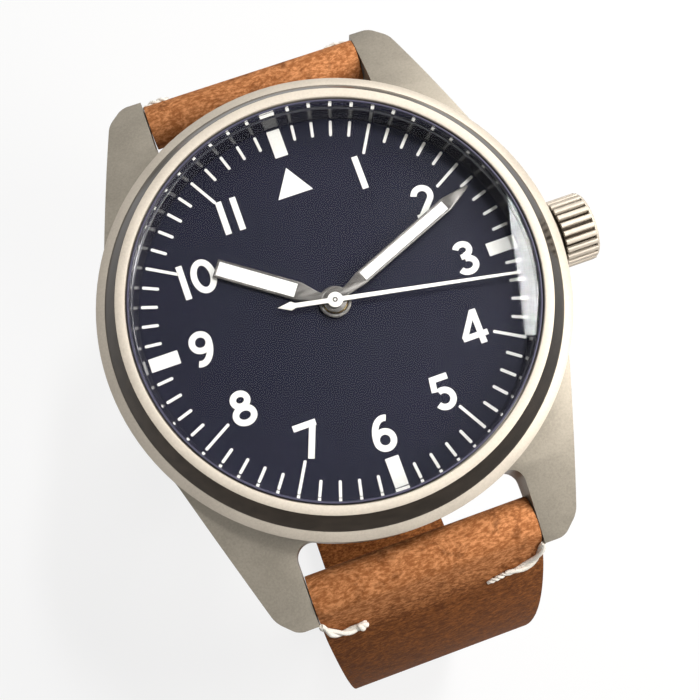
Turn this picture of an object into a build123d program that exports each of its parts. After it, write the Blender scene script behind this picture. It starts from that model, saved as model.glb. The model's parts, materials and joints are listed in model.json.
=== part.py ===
from build123d import *
import os
from math import atan2, cos, degrees, hypot, radians, sin

os.makedirs("parts", exist_ok=True)

# A pilot's wristwatch with a hand-wound movement, unbuckled, its strap curved as worn.
# The origin is on the case back's outer face, on the axis of the hands.
# +Z points out through the dial, +Y to twelve o'clock, +X to the crown at three. Millimetres.

# Gaps
seat_gap = 0.02  # between case pieces that seat in each other
pivot_gap = 0.06  # radial, round the small arbors
pin_gap = 0.05  # radial, round spring bars and hinge pins
strap_gap = 0.3  # between leather and what it moves beside
overrun = 1.0  # how far a cutter runs past what it cuts

# Case
case_diameter = 39.4
case_bore_share = 0.8528  # of the case's diameter
case_foot_height = 1.2
case_foot_bevel = 0.7
shoulder_height = 8.95
shoulder_drop = 0.4
flank_height = 8.2
lug_gap = 20.1
lug_width = 3.3
lug_reach_length = 4.8
lug_tip_height = 3.3
lug_tip_foot_height = 0.4
lug_tip_bevel = 1.5
lug_root_share = 0.984  # where a lug's outer side starts, of the case's radius
lug_root_angle = 24.4
lug_outer_fillet_radius = 8.0  # where a lug's outer side runs into the case
lug_inner_fillet_radius = 1.3  # where its inner side does
neck_wall = 0.62
neck_height = 1.0

# Bezel, crystal and what they hold
bezel_height = 1.95
bezel_foot_share = 0.724  # how far out its foot and its top reach, of the case's wall
bezel_top_share = 0.328
bezel_lip_gap = 0.1  # between its bore and the case's
bezel_edge = 0.12
crystal_thickness = 1.7
crystal_proud = 0.05
crystal_bevel = 0.22
gasket_wall = 0.17
gasket_recess = 0.12
dial_drop = 3.5
dial_thickness = 0.4
rehaut_wall = 0.3
rehaut_slope = 0.18
print_height = 0.06

# Dial printing
track_margin_width = 0.61
short_tick = 1.4
long_tick = 2.8
tick_width = 0.3
block_width = 1.15
block_length = 2.5
triangle_width = 3.1
triangle_height = 2.5
triangle_gap = 1.1

# Case back
back_thickness = 1.1
back_reach_share = 0.414  # how far out it reaches, of the case's wall
back_bevel = 0.35
back_boss_share = 0.394  # of the room round the movement
back_boss_height = 1.45
back_notches = 6
back_notch_width = 2.6
back_notch_depth = 1.2
back_gasket_wall = 0.5
back_gasket_height = 0.25

# Crown, at three o'clock
stem_height = 4.4
crown_diameter = 6.1
crown_length = 3.5
crown_gap = 0.6
crown_bevel = 0.55
crown_dome = 0.35
crown_ribs = 24
crown_rib_groove = 0.26
crown_bore = 3.2
crown_bore_depth = 2.2
stem_socket_length = 0.7
tube_diameter = 2.6
tube_bore = 1.5
tube_reach = 1.7
pull_travel = 1.2
crown_gasket_wall = 0.25

# Hands
hour_reach_share = 0.644  # the hands' reaches, of the minute track's radius
hour_hand_width = 1.6
hour_hand_neck = 3.2
minute_reach_share = 0.929
minute_hand_width = 1.25
minute_hand_neck = 2.9
lume_reach_share = 0.768
hand_frame = 0.2
hand_thickness = 0.16
hand_neck_width = 0.8
hour_boss_radius = 1.35
minute_boss_radius = 1.0
seconds_boss_radius = 0.65
seconds_reach_share = 0.96
seconds_hand_tip = 0.22
seconds_hand_root = 0.4
seconds_tail_reach = 4.8
seconds_tail_head = 1.5
seconds_tail_width = 0.76
hand_step = 0.36
hour_hand_gap = 0.34
shown_hour = 10
shown_minute = 11
shown_second = 16.8

# Movement
movement_diameter = 27.0
plate_thickness = 1.3
plate_height = 5.05
plate_rim_wall = 1.6
bridge_thickness = 0.75
bridge_height = 1.65
bridge_foot_wall = 1.3
bridge_split = 0.3
wheel_thickness = 0.2
pinion_face = 0.38
arbor_radius = 0.16
level_gap = 0.1

# Strap
strap_side_gap = 0.1
strap_taper_width = 2.5
strap_thickness = 2.5
strap_loop_radius = 2.0
bar_inset = 2.25
bar_height = 2.3
bar_tube_radius = 0.75
bar_tip_radius = 0.42
bar_tip_length = 0.9
strap_drop = 58.0
strap_tail_end = 32.0
hole_radius = 1.0
hole_pitch = 5.6
hole_count = 6
hole_from_tip = 17.0
tip_length = 8.0

# Buckle and keepers
buckle_wire = 1.9
buckle_gap = 0.25
buckle_reach = 10.0
buckle_loop_radius = 1.6
tongue_width = 1.7
tongue_thickness = 1.0
tongue_slot = 2.5
keeper_length = 5.0
keeper_wall = 1.1
keeper_gap = 0.3

case_radius = case_diameter / 2
bore_radius = case_radius * case_bore_share
case_wall = case_radius - bore_radius
bezel_foot_radius = bore_radius + case_wall * bezel_foot_share
bezel_top_radius = bore_radius + case_wall * bezel_top_share
bezel_bore_radius = bore_radius + bezel_lip_gap
bezel_top = shoulder_height + bezel_height
crystal_top = bezel_top + crystal_proud
crystal_bottom = crystal_top - crystal_thickness
dial_top = bezel_top - dial_drop
dial_bottom = dial_top - dial_thickness
dial_radius = bore_radius - 2 * seat_gap
track_radius = dial_radius - track_margin_width
hour_hand_reach = track_radius * hour_reach_share
minute_hand_reach = track_radius * minute_reach_share
minute_lume_reach = track_radius * lume_reach_share
seconds_hand_reach = track_radius * seconds_reach_share
lug_tip = case_radius + lug_reach_length
bar_y = lug_tip - bar_inset
tip_outer = lug_gap / 2 + lug_width
strap_width = lug_gap - 2 * strap_side_gap
strap_end_width = strap_width - strap_taper_width
back_radius = bore_radius + case_wall * back_reach_share
crown_start = case_radius + crown_gap


def polygon(points, plane=Plane.XY):
    """A closed straight-sided profile on a plane."""
    with BuildSketch(plane) as shape:
        with BuildLine():
            Polyline(*points, close=True)
        make_face()
    return shape.sketch


def turned(points):
    """A profile of radii and heights, to be revolved about the hands' axis."""
    return polygon(points, Plane.XZ)


def ring(outer, inner, height=0.0):
    """A flat ring about the hands' axis."""
    with BuildSketch(Plane.XY.offset(height)) as shape:
        Circle(outer)
        Circle(inner, mode=Mode.SUBTRACT)
    return shape.sketch


def along_x(x, y, z):
    """A place at a point whose own axis points along X."""
    return Location((x, y, z), (0, 90, 0))


def save(piece, name):
    """Label a finished piece and write it."""
    piece.part.label = name
    export_step(piece.part, f"parts/{name}.step")


# The case

with BuildPart() as mid_case:
    shelf = tip_outer - lug_tip_bevel
    corner = lug_tip - lug_tip_bevel
    root_reach = case_radius * lug_root_share
    root = (root_reach * cos(radians(lug_root_angle)), root_reach * sin(radians(lug_root_angle)))
    quarter = [root, (tip_outer, corner), (shelf, lug_tip)]
    top_half = quarter + [(-x, y) for x, y in quarter[::-1]]
    with BuildSketch(Plane.XY.offset(lug_tip_foot_height)) as case_plan:
        add(polygon(top_half + [(-x, -y) for x, y in top_half]))
        with Locations((0, lug_tip), (0, -lug_tip)):
            Rectangle(lug_gap, lug_tip, mode=Mode.SUBTRACT)
        Circle(case_radius - seat_gap)
        roots = [
            corner_point
            for corner_point in case_plan.vertices()
            if abs(hypot(corner_point.X, corner_point.Y) - case_radius) < 2 * seat_gap
        ]
        fillet([spot for spot in roots if abs(spot.X) > lug_gap / 2 + seat_gap], lug_outer_fillet_radius)
        corners = [
            corner_point
            for corner_point in case_plan.vertices()
            if abs(abs(corner_point.X) - lug_gap / 2) < seat_gap
            and abs(corner_point.Y) < lug_tip - lug_inner_fillet_radius
        ]
        fillet(corners, lug_inner_fillet_radius)
    extrude(amount=flank_height)
    with BuildSketch(Plane.YZ):
        with BuildLine():
            ThreePointArc((-lug_tip, lug_tip_height), (0, flank_height), (lug_tip, lug_tip_height))
            Polyline(
                (lug_tip, lug_tip_height),
                (lug_tip, lug_tip_foot_height),
                (case_radius, case_foot_height),
                (-case_radius, case_foot_height),
                (-lug_tip, lug_tip_foot_height),
                (-lug_tip, lug_tip_height),
            )
        make_face()
    extrude(amount=case_diameter, both=True, mode=Mode.INTERSECT)
    neck_radius = bore_radius + neck_wall
    revolve(
        turned(
            [
                (bore_radius, case_foot_height),
                (case_radius - case_foot_bevel, case_foot_height),
                (case_radius, case_foot_height + case_foot_bevel),
                (case_radius, shoulder_height - shoulder_drop),
                (bezel_foot_radius, shoulder_height),
                (neck_radius, shoulder_height),
                (neck_radius, shoulder_height + neck_height),
                (bore_radius, shoulder_height + neck_height),
            ]
        ),
        axis=Axis.Z,
    )
    Cylinder(bore_radius, case_diameter, mode=Mode.SUBTRACT)
    hole_depth = bar_tip_length + pin_gap
    hole_x = (lug_gap + hole_depth) / 2
    with Locations(*[along_x(x, y, bar_height) for x in (-hole_x, hole_x) for y in (-bar_y, bar_y)]):
        Cylinder(bar_tip_radius + pin_gap, hole_depth, mode=Mode.SUBTRACT)
    with Locations(along_x(case_radius, 0, stem_height)):
        Cylinder(tube_diameter / 2 + seat_gap, case_diameter / 4, mode=Mode.SUBTRACT)
save(mid_case, "mid_case")

with BuildPart() as bezel:
    groove_radius = neck_radius + seat_gap
    groove_top = shoulder_height + neck_height + seat_gap
    revolve(
        turned(
            [
                (groove_radius, shoulder_height),
                (bezel_foot_radius, shoulder_height),
                (bezel_top_radius + bezel_edge, bezel_top - bezel_edge),
                (bezel_top_radius, bezel_top),
                (bezel_bore_radius, bezel_top),
                (bezel_bore_radius, groove_top),
                (groove_radius, groove_top),
            ]
        ),
        axis=Axis.Z,
    )
save(bezel, "bezel")

crystal_radius = bore_radius - gasket_wall - 2 * seat_gap

with BuildPart() as crystal:
    revolve(
        turned(
            [
                (0, crystal_bottom),
                (crystal_radius, crystal_bottom),
                (crystal_radius, crystal_top - crystal_bevel),
                (crystal_radius - crystal_bevel, crystal_top),
                (0, crystal_top),
            ]
        ),
        axis=Axis.Z,
    )
save(crystal, "crystal")

with BuildPart() as crystal_gasket:
    gasket_top = bezel_top - gasket_recess
    extrude(ring(bore_radius - seat_gap, crystal_radius + seat_gap, crystal_bottom), gasket_top - crystal_bottom)
save(crystal_gasket, "crystal_gasket")

with BuildPart() as rehaut:
    rehaut_radius = bore_radius - seat_gap
    revolve(
        turned(
            [
                (rehaut_radius - rehaut_wall - rehaut_slope, dial_top),
                (rehaut_radius, dial_top),
                (rehaut_radius, crystal_bottom),
                (rehaut_radius - rehaut_wall, crystal_bottom),
            ]
        ),
        axis=Axis.Z,
    )
save(rehaut, "rehaut")

# The dial and its raised printing

module_motion = 0.2
cannon_teeth = 10
minute_wheel_teeth = 30
minute_pinion_teeth = 8
hour_wheel_teeth = 32
sleeve_bore = 0.3
sleeve_radius = 0.56
cannon_radius = 0.76
hour_pipe_radius = 1.02
dial_hole = hour_pipe_radius + 3 * pivot_gap

with BuildPart() as dial:
    extrude(ring(dial_radius, dial_hole, dial_bottom), dial_thickness)
save(dial, "dial")

with BuildPart() as dial_markers:
    with BuildSketch(Plane.XY.offset(dial_top)):
        for step in range(1, 5):
            with PolarLocations(track_radius - short_tick / 2, 12, start_angle=6 * step):
                Rectangle(short_tick, tick_width)
        for step in (1, 2):
            with PolarLocations(track_radius - long_tick / 2, 4, start_angle=30 * step):
                Rectangle(long_tick, tick_width)
        with PolarLocations(track_radius - block_length / 2, 4):
            Rectangle(block_length, block_width)
        apex = track_radius - block_length - triangle_gap
        with BuildLine():
            Polyline(
                (0, apex),
                (-triangle_width / 2, apex - triangle_height),
                (triangle_width / 2, apex - triangle_height),
                close=True,
            )
        make_face()
    extrude(amount=print_height)
save(dial_markers, "dial_markers")

# Toothed wheels

tooth_addendum_share = 1.0
tooth_dedendum_share = 1.2


def tooth_outline(teeth, module, phase=0.0, lean=0.0):
    """Pointed teeth round a circle: a tip and a root for each, the first tip at the phase."""
    tip = module * (teeth / 2 + tooth_addendum_share)
    root = module * (teeth / 2 - tooth_dedendum_share)
    points = []
    for tooth in range(teeth):
        at_tip = radians(phase + lean + 360 * tooth / teeth)
        at_root = radians(phase + 360 * (tooth + 0.5) / teeth)
        points += [(tip * cos(at_tip), tip * sin(at_tip)), (root * cos(at_root), root * sin(at_root))]
    return points


def toothed(centre, height, teeth, module, phase=0.0, bore=0.0):
    """A solid toothed wheel's plan at a height, with a hole or without."""
    with BuildSketch(Plane.XY.offset(height)) as plan:
        with Locations(centre):
            add(polygon(tooth_outline(teeth, module, phase)))
            if bore:
                Circle(bore, mode=Mode.SUBTRACT)
    return plan.sketch


def crossed(centre, height, teeth, module, phase, hub):
    """A toothed wheel's plan at a height, crossed out to a rim, a hub and arms."""
    with BuildSketch(Plane.XY.offset(height)) as plan:
        with Locations(centre):
            add(polygon(tooth_outline(teeth, module, phase)))
            Circle(module * (teeth / 2 - tooth_dedendum_share) - train_rim_width, mode=Mode.SUBTRACT)
            Circle(hub)
            reach = module * teeth / 2 - train_rim_width
            with PolarLocations(reach / 2, wheel_arms, start_angle=phase):
                Rectangle(reach, hub / 2)
    return plan.sketch


def disc(centre, height, radius, bore=0.0):
    """A round plan at a height, with a hole or without."""
    with BuildSketch(Plane.XY.offset(height)) as plan:
        with Locations(centre):
            Circle(radius)
            if bore:
                Circle(bore, mode=Mode.SUBTRACT)
    return plan.sketch


def polar(radius, angle, origin=(0.0, 0.0)):
    """The point at a distance and an angle from another."""
    return origin[0] + radius * cos(radians(angle)), origin[1] + radius * sin(radians(angle))


def bearing(start, end):
    """The angle from one point to another, in degrees."""
    return degrees(atan2(end[1] - start[1], end[0] - start[0]))


def meshed(driver, driver_place, follower, follower_place):
    """Phases that put a tooth of one wheel in the other's gap, on the line between them."""
    line = bearing(driver_place, follower_place)
    return line, line + 180 + 180 / follower


# The going train: barrel to centre wheel, third wheel, fourth wheel and escape wheel.
# The fourth wheel turns on the hands' axis inside the hollow centre arbor.
barrel_teeth, centre_pinion_teeth = 60, 10
centre_teeth, third_pinion_teeth = 64, 8
third_teeth, fourth_pinion_teeth = 60, 8
fourth_teeth, escape_pinion_teeth = 60, 6
escape_teeth = 15
train_rim_width = 0.35
centre_hub_radius = 1.0
third_hub_radius = 0.7
fourth_hub_radius = 0.8
wheel_arms = 4
module_barrel = 0.15
module_centre = 0.1
module_fourth = 0.108
mesh_play = 0.02
centre = (0.0, 0.0)
barrel_distance = module_barrel * (barrel_teeth + centre_pinion_teeth) / 2 + mesh_play
third_distance = module_centre * (centre_teeth + third_pinion_teeth) / 2 + mesh_play
module_third = 2 * (third_distance - mesh_play) / (third_teeth + fourth_pinion_teeth)
escape_distance = module_fourth * (fourth_teeth + escape_pinion_teeth) / 2 + mesh_play
barrel_place = polar(barrel_distance, 75)
third_place = polar(third_distance, 200)
escape_place = polar(escape_distance, -80)

# Heights in the movement, from the case back up to the dial
plate_top = plate_height + plate_thickness
bridge_top = bridge_height + bridge_thickness
fourth_height = bridge_top + level_gap
fourth_pinion_height = fourth_height + wheel_thickness
third_height = fourth_pinion_height + level_gap
barrel_height = third_height + wheel_thickness + 2 * level_gap
centre_height = plate_height - level_gap - wheel_thickness
barrel_flange = 2 * wheel_thickness
barrel_top = centre_height - level_gap
third_pinion_height = plate_height - level_gap - pinion_face
pivot_top = plate_height + plate_thickness / 2
pivot_foot = bridge_height + bridge_thickness / 2
movement_radius = movement_diameter / 2

barrel_phase, centre_pinion_phase = meshed(barrel_teeth, barrel_place, centre_pinion_teeth, centre)
centre_phase, third_pinion_phase = meshed(centre_teeth, centre, third_pinion_teeth, third_place)
third_phase, fourth_pinion_phase = meshed(third_teeth, third_place, fourth_pinion_teeth, centre)
fourth_phase, escape_pinion_phase = meshed(fourth_teeth, centre, escape_pinion_teeth, escape_place)

barrel_wall = 0.35
barrel_drum_radius = module_barrel * (barrel_teeth / 2 - tooth_dedendum_share) - level_gap
barrel_hub_radius = 1.3
barrel_arbor_radius = 0.7
spring_strip = 0.12
spring_turns = 5
spring_steps = 12

with BuildPart() as mainspring_barrel:
    flange_foot = barrel_top - barrel_flange
    extrude(toothed(barrel_place, flange_foot, barrel_teeth, module_barrel, barrel_phase), barrel_flange)
    extrude(disc(barrel_place, barrel_height, barrel_drum_radius), barrel_top - barrel_flange - barrel_height)
    extrude(
        disc(barrel_place, barrel_height + barrel_wall, barrel_drum_radius - barrel_wall),
        barrel_top - barrel_height - 2 * barrel_wall,
        mode=Mode.SUBTRACT,
    )
    extrude(
        disc(barrel_place, barrel_height - overrun, barrel_arbor_radius + pivot_gap),
        barrel_top - barrel_height + 2 * overrun,
        mode=Mode.SUBTRACT,
    )
save(mainspring_barrel, "mainspring_barrel")


def spiral_strip(place, inner, outer, turns, steps, strip, start_angle):
    """A flat spiral strip's plan: evenly turned steps out along one edge and back along the other."""
    count = turns * steps
    edges = []
    for side in (0.0, strip):
        edge = []
        for step in range(count + 1):
            radius = inner + (outer - strip - inner) * step / count + side
            edge.append(polar(radius, start_angle + 360 * step / steps, place))
        edges.append(edge)
    return edges[0] + edges[1][::-1]


with BuildPart() as mainspring:
    spring_room = barrel_drum_radius - barrel_wall - seat_gap
    spring_foot = barrel_height + barrel_wall + seat_gap
    outline = spiral_strip(
        barrel_place, barrel_hub_radius, spring_room, spring_turns, spring_steps, spring_strip, 0
    )
    extrude(
        polygon(outline, Plane.XY.offset(spring_foot)), barrel_top - barrel_wall - seat_gap - spring_foot
    )
save(mainspring, "mainspring")

with BuildPart() as centre_wheel:
    extrude(
        crossed(centre, centre_height, centre_teeth, module_centre, centre_phase, centre_hub_radius),
        wheel_thickness,
    )
    centre_pinion_foot = barrel_top - barrel_flange - level_gap
    extrude(
        toothed(centre, centre_pinion_foot, centre_pinion_teeth, module_barrel, centre_pinion_phase),
        centre_height - centre_pinion_foot,
    )
    sleeve_foot = barrel_height + level_gap
    minute_hand_height = dial_top + hour_hand_gap + hand_step
    sleeve_top = minute_hand_height - level_gap / 2
    extrude(disc(centre, sleeve_foot, sleeve_radius), sleeve_top - sleeve_foot)
    extrude(
        disc(centre, sleeve_foot - overrun, sleeve_bore),
        sleeve_top - sleeve_foot + 2 * overrun,
        mode=Mode.SUBTRACT,
    )
save(centre_wheel, "centre_wheel")

with BuildPart() as third_wheel:
    extrude(
        crossed(third_place, third_height, third_teeth, module_third, third_phase, third_hub_radius),
        wheel_thickness,
    )
    extrude(
        toothed(third_place, third_pinion_height, third_pinion_teeth, module_centre, third_pinion_phase),
        pinion_face,
    )
    extrude(disc(third_place, pivot_foot, arbor_radius), pivot_top - pivot_foot)
save(third_wheel, "third_wheel")

seconds_hand_height = minute_hand_height + hand_step
seconds_arbor_radius = sleeve_bore - pivot_gap

with BuildPart() as fourth_wheel:
    extrude(
        crossed(centre, fourth_height, fourth_teeth, module_fourth, fourth_phase, fourth_hub_radius),
        wheel_thickness,
    )
    extrude(
        toothed(centre, fourth_pinion_height, fourth_pinion_teeth, module_third, fourth_pinion_phase),
        pinion_face,
    )
    extrude(disc(centre, pivot_foot, seconds_arbor_radius), seconds_hand_height - pivot_foot)
save(fourth_wheel, "fourth_wheel")

# The escapement: escape wheel, pallet fork and balance
module_escape = 0.27
escape_height = barrel_height + wheel_thickness + 7 * level_gap / 2
escape_lean_angle = 7.0
escape_window_radius = 1.15
escape_hub_radius = 0.55
escape_arm_width = 0.25
fork_distance = 2.7
balance_distance = 5.5
escape_line_angle = -40
fork_place = polar(fork_distance, escape_line_angle, escape_place)
balance_place = polar(balance_distance, escape_line_angle, escape_place)
escape_phase = escape_line_angle + 30 + 6 - escape_lean_angle

with BuildPart() as escape_wheel:
    with BuildSketch(Plane.XY.offset(escape_height)):
        with Locations(escape_place):
            add(polygon(tooth_outline(escape_teeth, module_escape, escape_phase, escape_lean_angle)))
            Circle(escape_window_radius, mode=Mode.SUBTRACT)
            Circle(escape_hub_radius)
            with PolarLocations(escape_window_radius / 2, 4):
                Rectangle(escape_window_radius + escape_arm_width, escape_arm_width)
    extrude(amount=wheel_thickness)
    escape_pinion_foot = fourth_height - level_gap / 2
    extrude(
        toothed(escape_place, escape_pinion_foot, escape_pinion_teeth, module_fourth, escape_pinion_phase),
        pinion_face,
    )
    extrude(disc(escape_place, pivot_foot, arbor_radius), pivot_top - pivot_foot)
save(escape_wheel, "escape_wheel")

escape_tip = module_escape * (escape_teeth / 2 + tooth_addendum_share)
pallet_angle = 30.0
pallet_clear = 0.15
pallet_width = 0.3
pallet_length = 0.45
fork_arm = 0.34
fork_slot = 0.34
horn_spread = 0.5
roller_radius = 0.75
impulse_pin_radius = 0.13

cock_thickness = 0.35
cock_height = escape_height - level_gap - cock_thickness

with BuildSketch() as fork_plan:
    lever = balance_distance - fork_distance - roller_radius - impulse_pin_radius - pin_gap
    stone_circle = escape_tip + pallet_clear + pallet_length / 2
    Circle(2 * fork_arm)
    with Locations((lever / 2, 0)):
        Rectangle(lever, fork_arm)
    with Locations((lever - horn_spread / 2, 0)):
        Rectangle(horn_spread, 2 * horn_spread)
    with Locations((lever, 0)):
        Rectangle(horn_spread, fork_slot, mode=Mode.SUBTRACT)
    for side in (-1, 1):
        stone = polar(stone_circle, side * pallet_angle, (-fork_distance, 0))
        with Locations(Location((stone[0] / 2, stone[1] / 2), bearing(centre, stone))):
            Rectangle(hypot(*stone), fork_arm)
        with Locations(Location(stone, side * pallet_angle)):
            Rectangle(pallet_length, pallet_width)

with BuildPart() as pallet_fork:
    with BuildSketch(Plane.XY.offset(escape_height)):
        with Locations(Location(fork_place, escape_line_angle)):
            add(fork_plan.sketch)
    extrude(amount=wheel_thickness)
    extrude(disc(fork_place, cock_height, arbor_radius), pivot_top - cock_height)
save(pallet_fork, "pallet_fork")

balance_radius = 3.5
balance_rim = 0.5
balance_rim_height = 0.35
hairspring_height = bridge_top + level_gap
hairspring_blade = 0.2
roller_height = 0.2
hairspring_inner_radius = 0.5
hairspring_outer_radius = 2.3
hairspring_strip_width = 0.07
hairspring_turns = 6

with BuildPart() as balance_wheel:
    balance_height = hairspring_height + hairspring_blade + level_gap
    roller_foot = escape_height - level_gap - roller_height
    with BuildSketch(Plane.XY.offset(balance_height)):
        with Locations(Location(balance_place, escape_line_angle)):
            Circle(balance_radius)
            Circle(balance_radius - balance_rim, mode=Mode.SUBTRACT)
            Rectangle(2 * balance_radius - balance_rim, balance_rim)
            Circle(balance_rim)
    extrude(amount=balance_rim_height)
    extrude(disc(balance_place, roller_foot, roller_radius + 2 * impulse_pin_radius), roller_height)
    pin_place = polar(-roller_radius, escape_line_angle, balance_place)
    extrude(disc(pin_place, roller_foot, impulse_pin_radius), roller_height + level_gap + wheel_thickness)
    extrude(disc(balance_place, pivot_foot, arbor_radius), pivot_top - pivot_foot)
save(balance_wheel, "balance_wheel")

with BuildPart() as hairspring:
    outline = spiral_strip(
        balance_place,
        hairspring_inner_radius,
        hairspring_outer_radius,
        hairspring_turns,
        spring_steps,
        hairspring_strip_width,
        escape_line_angle,
    )
    extrude(polygon(outline, Plane.XY.offset(hairspring_height)), hairspring_blade)
save(hairspring, "hairspring")

# Motion works, between the main plate and the dial

motion_distance = module_motion * (cannon_teeth + minute_wheel_teeth) / 2 + mesh_play
minute_place = polar(motion_distance, 150)
cannon_phase, minute_wheel_phase = meshed(cannon_teeth, centre, minute_wheel_teeth, minute_place)
hour_phase, minute_pinion_phase = meshed(hour_wheel_teeth, centre, minute_pinion_teeth, minute_place)
cannon_height = plate_top + level_gap
hour_wheel_height = dial_bottom - level_gap - wheel_thickness
hour_hand_height = dial_top + hour_hand_gap
minute_post_radius = 0.3

with BuildPart() as cannon_pinion:
    extrude(toothed(centre, cannon_height, cannon_teeth, module_motion, cannon_phase), wheel_thickness)
    extrude(disc(centre, cannon_height, cannon_radius), sleeve_top - cannon_height)
    extrude(
        disc(centre, cannon_height - overrun, sleeve_radius + seat_gap),
        sleeve_top - cannon_height + 2 * overrun,
        mode=Mode.SUBTRACT,
    )
save(cannon_pinion, "cannon_pinion")

with BuildPart() as minute_wheel:
    extrude(
        toothed(minute_place, cannon_height, minute_wheel_teeth, module_motion, minute_wheel_phase),
        wheel_thickness,
    )
    extrude(
        toothed(minute_place, cannon_height, minute_pinion_teeth, module_motion, minute_pinion_phase),
        dial_bottom - level_gap - cannon_height,
    )
    extrude(
        disc(minute_place, cannon_height - overrun, minute_post_radius + pivot_gap),
        2 * overrun,
        mode=Mode.SUBTRACT,
    )
save(minute_wheel, "minute_wheel")

with BuildPart() as hour_wheel:
    extrude(toothed(centre, hour_wheel_height, hour_wheel_teeth, module_motion, hour_phase), wheel_thickness)
    pipe_length = hour_hand_height + hand_thickness - hour_wheel_height
    extrude(disc(centre, hour_wheel_height, hour_pipe_radius), pipe_length)
    extrude(
        disc(centre, hour_wheel_height - overrun, cannon_radius + pivot_gap),
        dial_top + 3 * overrun - hour_wheel_height,
        mode=Mode.SUBTRACT,
    )
save(hour_wheel, "hour_wheel")

# Hands, set to the shown time

hour_angle = 90 - 30 * (shown_hour + shown_minute / 60 + shown_second / 3600)
minute_angle = 90 - 6 * (shown_minute + shown_second / 60)
seconds_angle = 90 - 6 * shown_second


def hand(height, angle, boss, bore, outline, window):
    """A hand's plan along its own direction: its boss, its blade and the window for the paint."""
    with BuildSketch(Plane.XY.offset(height)) as plan:
        with Locations(Location((0, 0), angle)):
            add(polygon(outline))
            Circle(boss)
            Circle(bore, mode=Mode.SUBTRACT)
            if window:
                add(polygon(window), mode=Mode.SUBTRACT)
    return plan.sketch


def baton(neck, reach, width, point):
    """Half of a baton hand's outline each way: a narrow neck, the blade, and its point or flat end."""
    return [
        (0, -hand_neck_width / 2),
        (neck / 2, -hand_neck_width / 2),
        (neck, -width / 2),
        (reach, -width / 2),
        (point, -seconds_hand_tip / 2),
        (point, seconds_hand_tip / 2),
        (reach, width / 2),
        (neck, width / 2),
        (neck / 2, hand_neck_width / 2),
        (0, hand_neck_width / 2),
    ]


def window(start, end, width):
    """The painted window of a hand."""
    return [(start, -width / 2), (end, -width / 2), (end, width / 2), (start, width / 2)]


hour_room = hour_hand_width - 2 * hand_frame
minute_room = minute_hand_width - 2 * hand_frame
hour_window = window(hour_hand_neck + hand_frame, hour_hand_reach - hand_frame, hour_room)
minute_window = window(minute_hand_neck + hand_frame, minute_lume_reach, minute_room)
paint_gap = seat_gap / 2

with BuildPart() as hour_hand:
    outline = baton(hour_hand_neck, hour_hand_reach, hour_hand_width, hour_hand_reach)
    plan = hand(
        hour_hand_height, hour_angle, hour_boss_radius, hour_pipe_radius + seat_gap, outline, hour_window
    )
    extrude(plan, hand_thickness)
save(hour_hand, "hour_hand")

with BuildPart() as minute_hand:
    outline = baton(
        minute_hand_neck, minute_lume_reach + hand_frame, minute_hand_width, minute_hand_reach
    )
    plan = hand(
        minute_hand_height, minute_angle, minute_boss_radius, sleeve_bore, outline, minute_window
    )
    extrude(plan, hand_thickness)
save(minute_hand, "minute_hand")


def paint(height, angle, span):
    """The paint filling a hand's window."""
    with BuildSketch(Plane.XY.offset(height)) as plan:
        with Locations(Location((0, 0), angle)):
            add(polygon(span))
    return plan.sketch


with BuildPart() as hour_lume:
    span = window(
        hour_hand_neck + hand_frame + paint_gap,
        hour_hand_reach - hand_frame - paint_gap,
        hour_hand_width - 2 * hand_frame - 2 * paint_gap,
    )
    extrude(paint(hour_hand_height, hour_angle, span), hand_thickness)
save(hour_lume, "hour_lume")

with BuildPart() as minute_lume:
    span = window(
        minute_hand_neck + hand_frame + paint_gap,
        minute_lume_reach - paint_gap,
        minute_hand_width - 2 * hand_frame - 2 * paint_gap,
    )
    extrude(paint(minute_hand_height, minute_angle, span), hand_thickness)
save(minute_lume, "minute_lume")

with BuildPart() as seconds_hand:
    head = seconds_tail_reach - seconds_tail_head
    with BuildSketch(Plane.XY.offset(seconds_hand_height)):
        with Locations(Location((0, 0), seconds_angle)):
            add(
                polygon(
                    [
                        (seconds_hand_reach, -seconds_hand_tip / 2),
                        (seconds_hand_reach, seconds_hand_tip / 2),
                        (0, seconds_hand_root / 2),
                        (-head, seconds_hand_root / 2),
                        (-head - seconds_tail_head / 4, seconds_tail_width / 2),
                        (-seconds_tail_reach, 0),
                        (-head - seconds_tail_head / 4, -seconds_tail_width / 2),
                        (-head, -seconds_hand_root / 2),
                        (0, -seconds_hand_root / 2),
                    ]
                )
            )
            Circle(seconds_boss_radius)
    extrude(amount=hand_thickness)
save(seconds_hand, "seconds_hand")

# Winding: ratchet wheel on the barrel arbor, crown wheel, winding pinion, clutch and stem

ratchet_teeth, crown_wheel_teeth = 45, 24
contrate_teeth, winding_teeth = 20, 12
crown_wheel_x = 7.45
crown_wheel_place = (crown_wheel_x, 0.0)
ratchet_distance = hypot(barrel_place[0] - crown_wheel_x, barrel_place[1])
module_ratchet = 2 * (ratchet_distance - mesh_play) / (ratchet_teeth + crown_wheel_teeth)
ratchet_phase, crown_wheel_phase = meshed(ratchet_teeth, barrel_place, crown_wheel_teeth, crown_wheel_place)
ratchet_thickness = 0.3
ratchet_height = bridge_height - level_gap / 2 - ratchet_thickness
crown_wheel_arbor = 0.6
contrate_radius = 2.25
contrate_thickness = 0.3
contrate_tooth = 0.3
module_winding = 2 * contrate_radius / contrate_teeth
winding_tip = module_winding * (winding_teeth / 2 + tooth_addendum_share)

with BuildPart() as barrel_arbor:
    extrude(disc(barrel_place, ratchet_height, barrel_arbor_radius), pivot_top - ratchet_height)
    core_foot = barrel_height + barrel_wall + seat_gap
    core = barrel_hub_radius - level_gap
    extrude(disc(barrel_place, core_foot, core), barrel_top - barrel_wall - seat_gap - core_foot)
save(barrel_arbor, "barrel_arbor")

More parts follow.
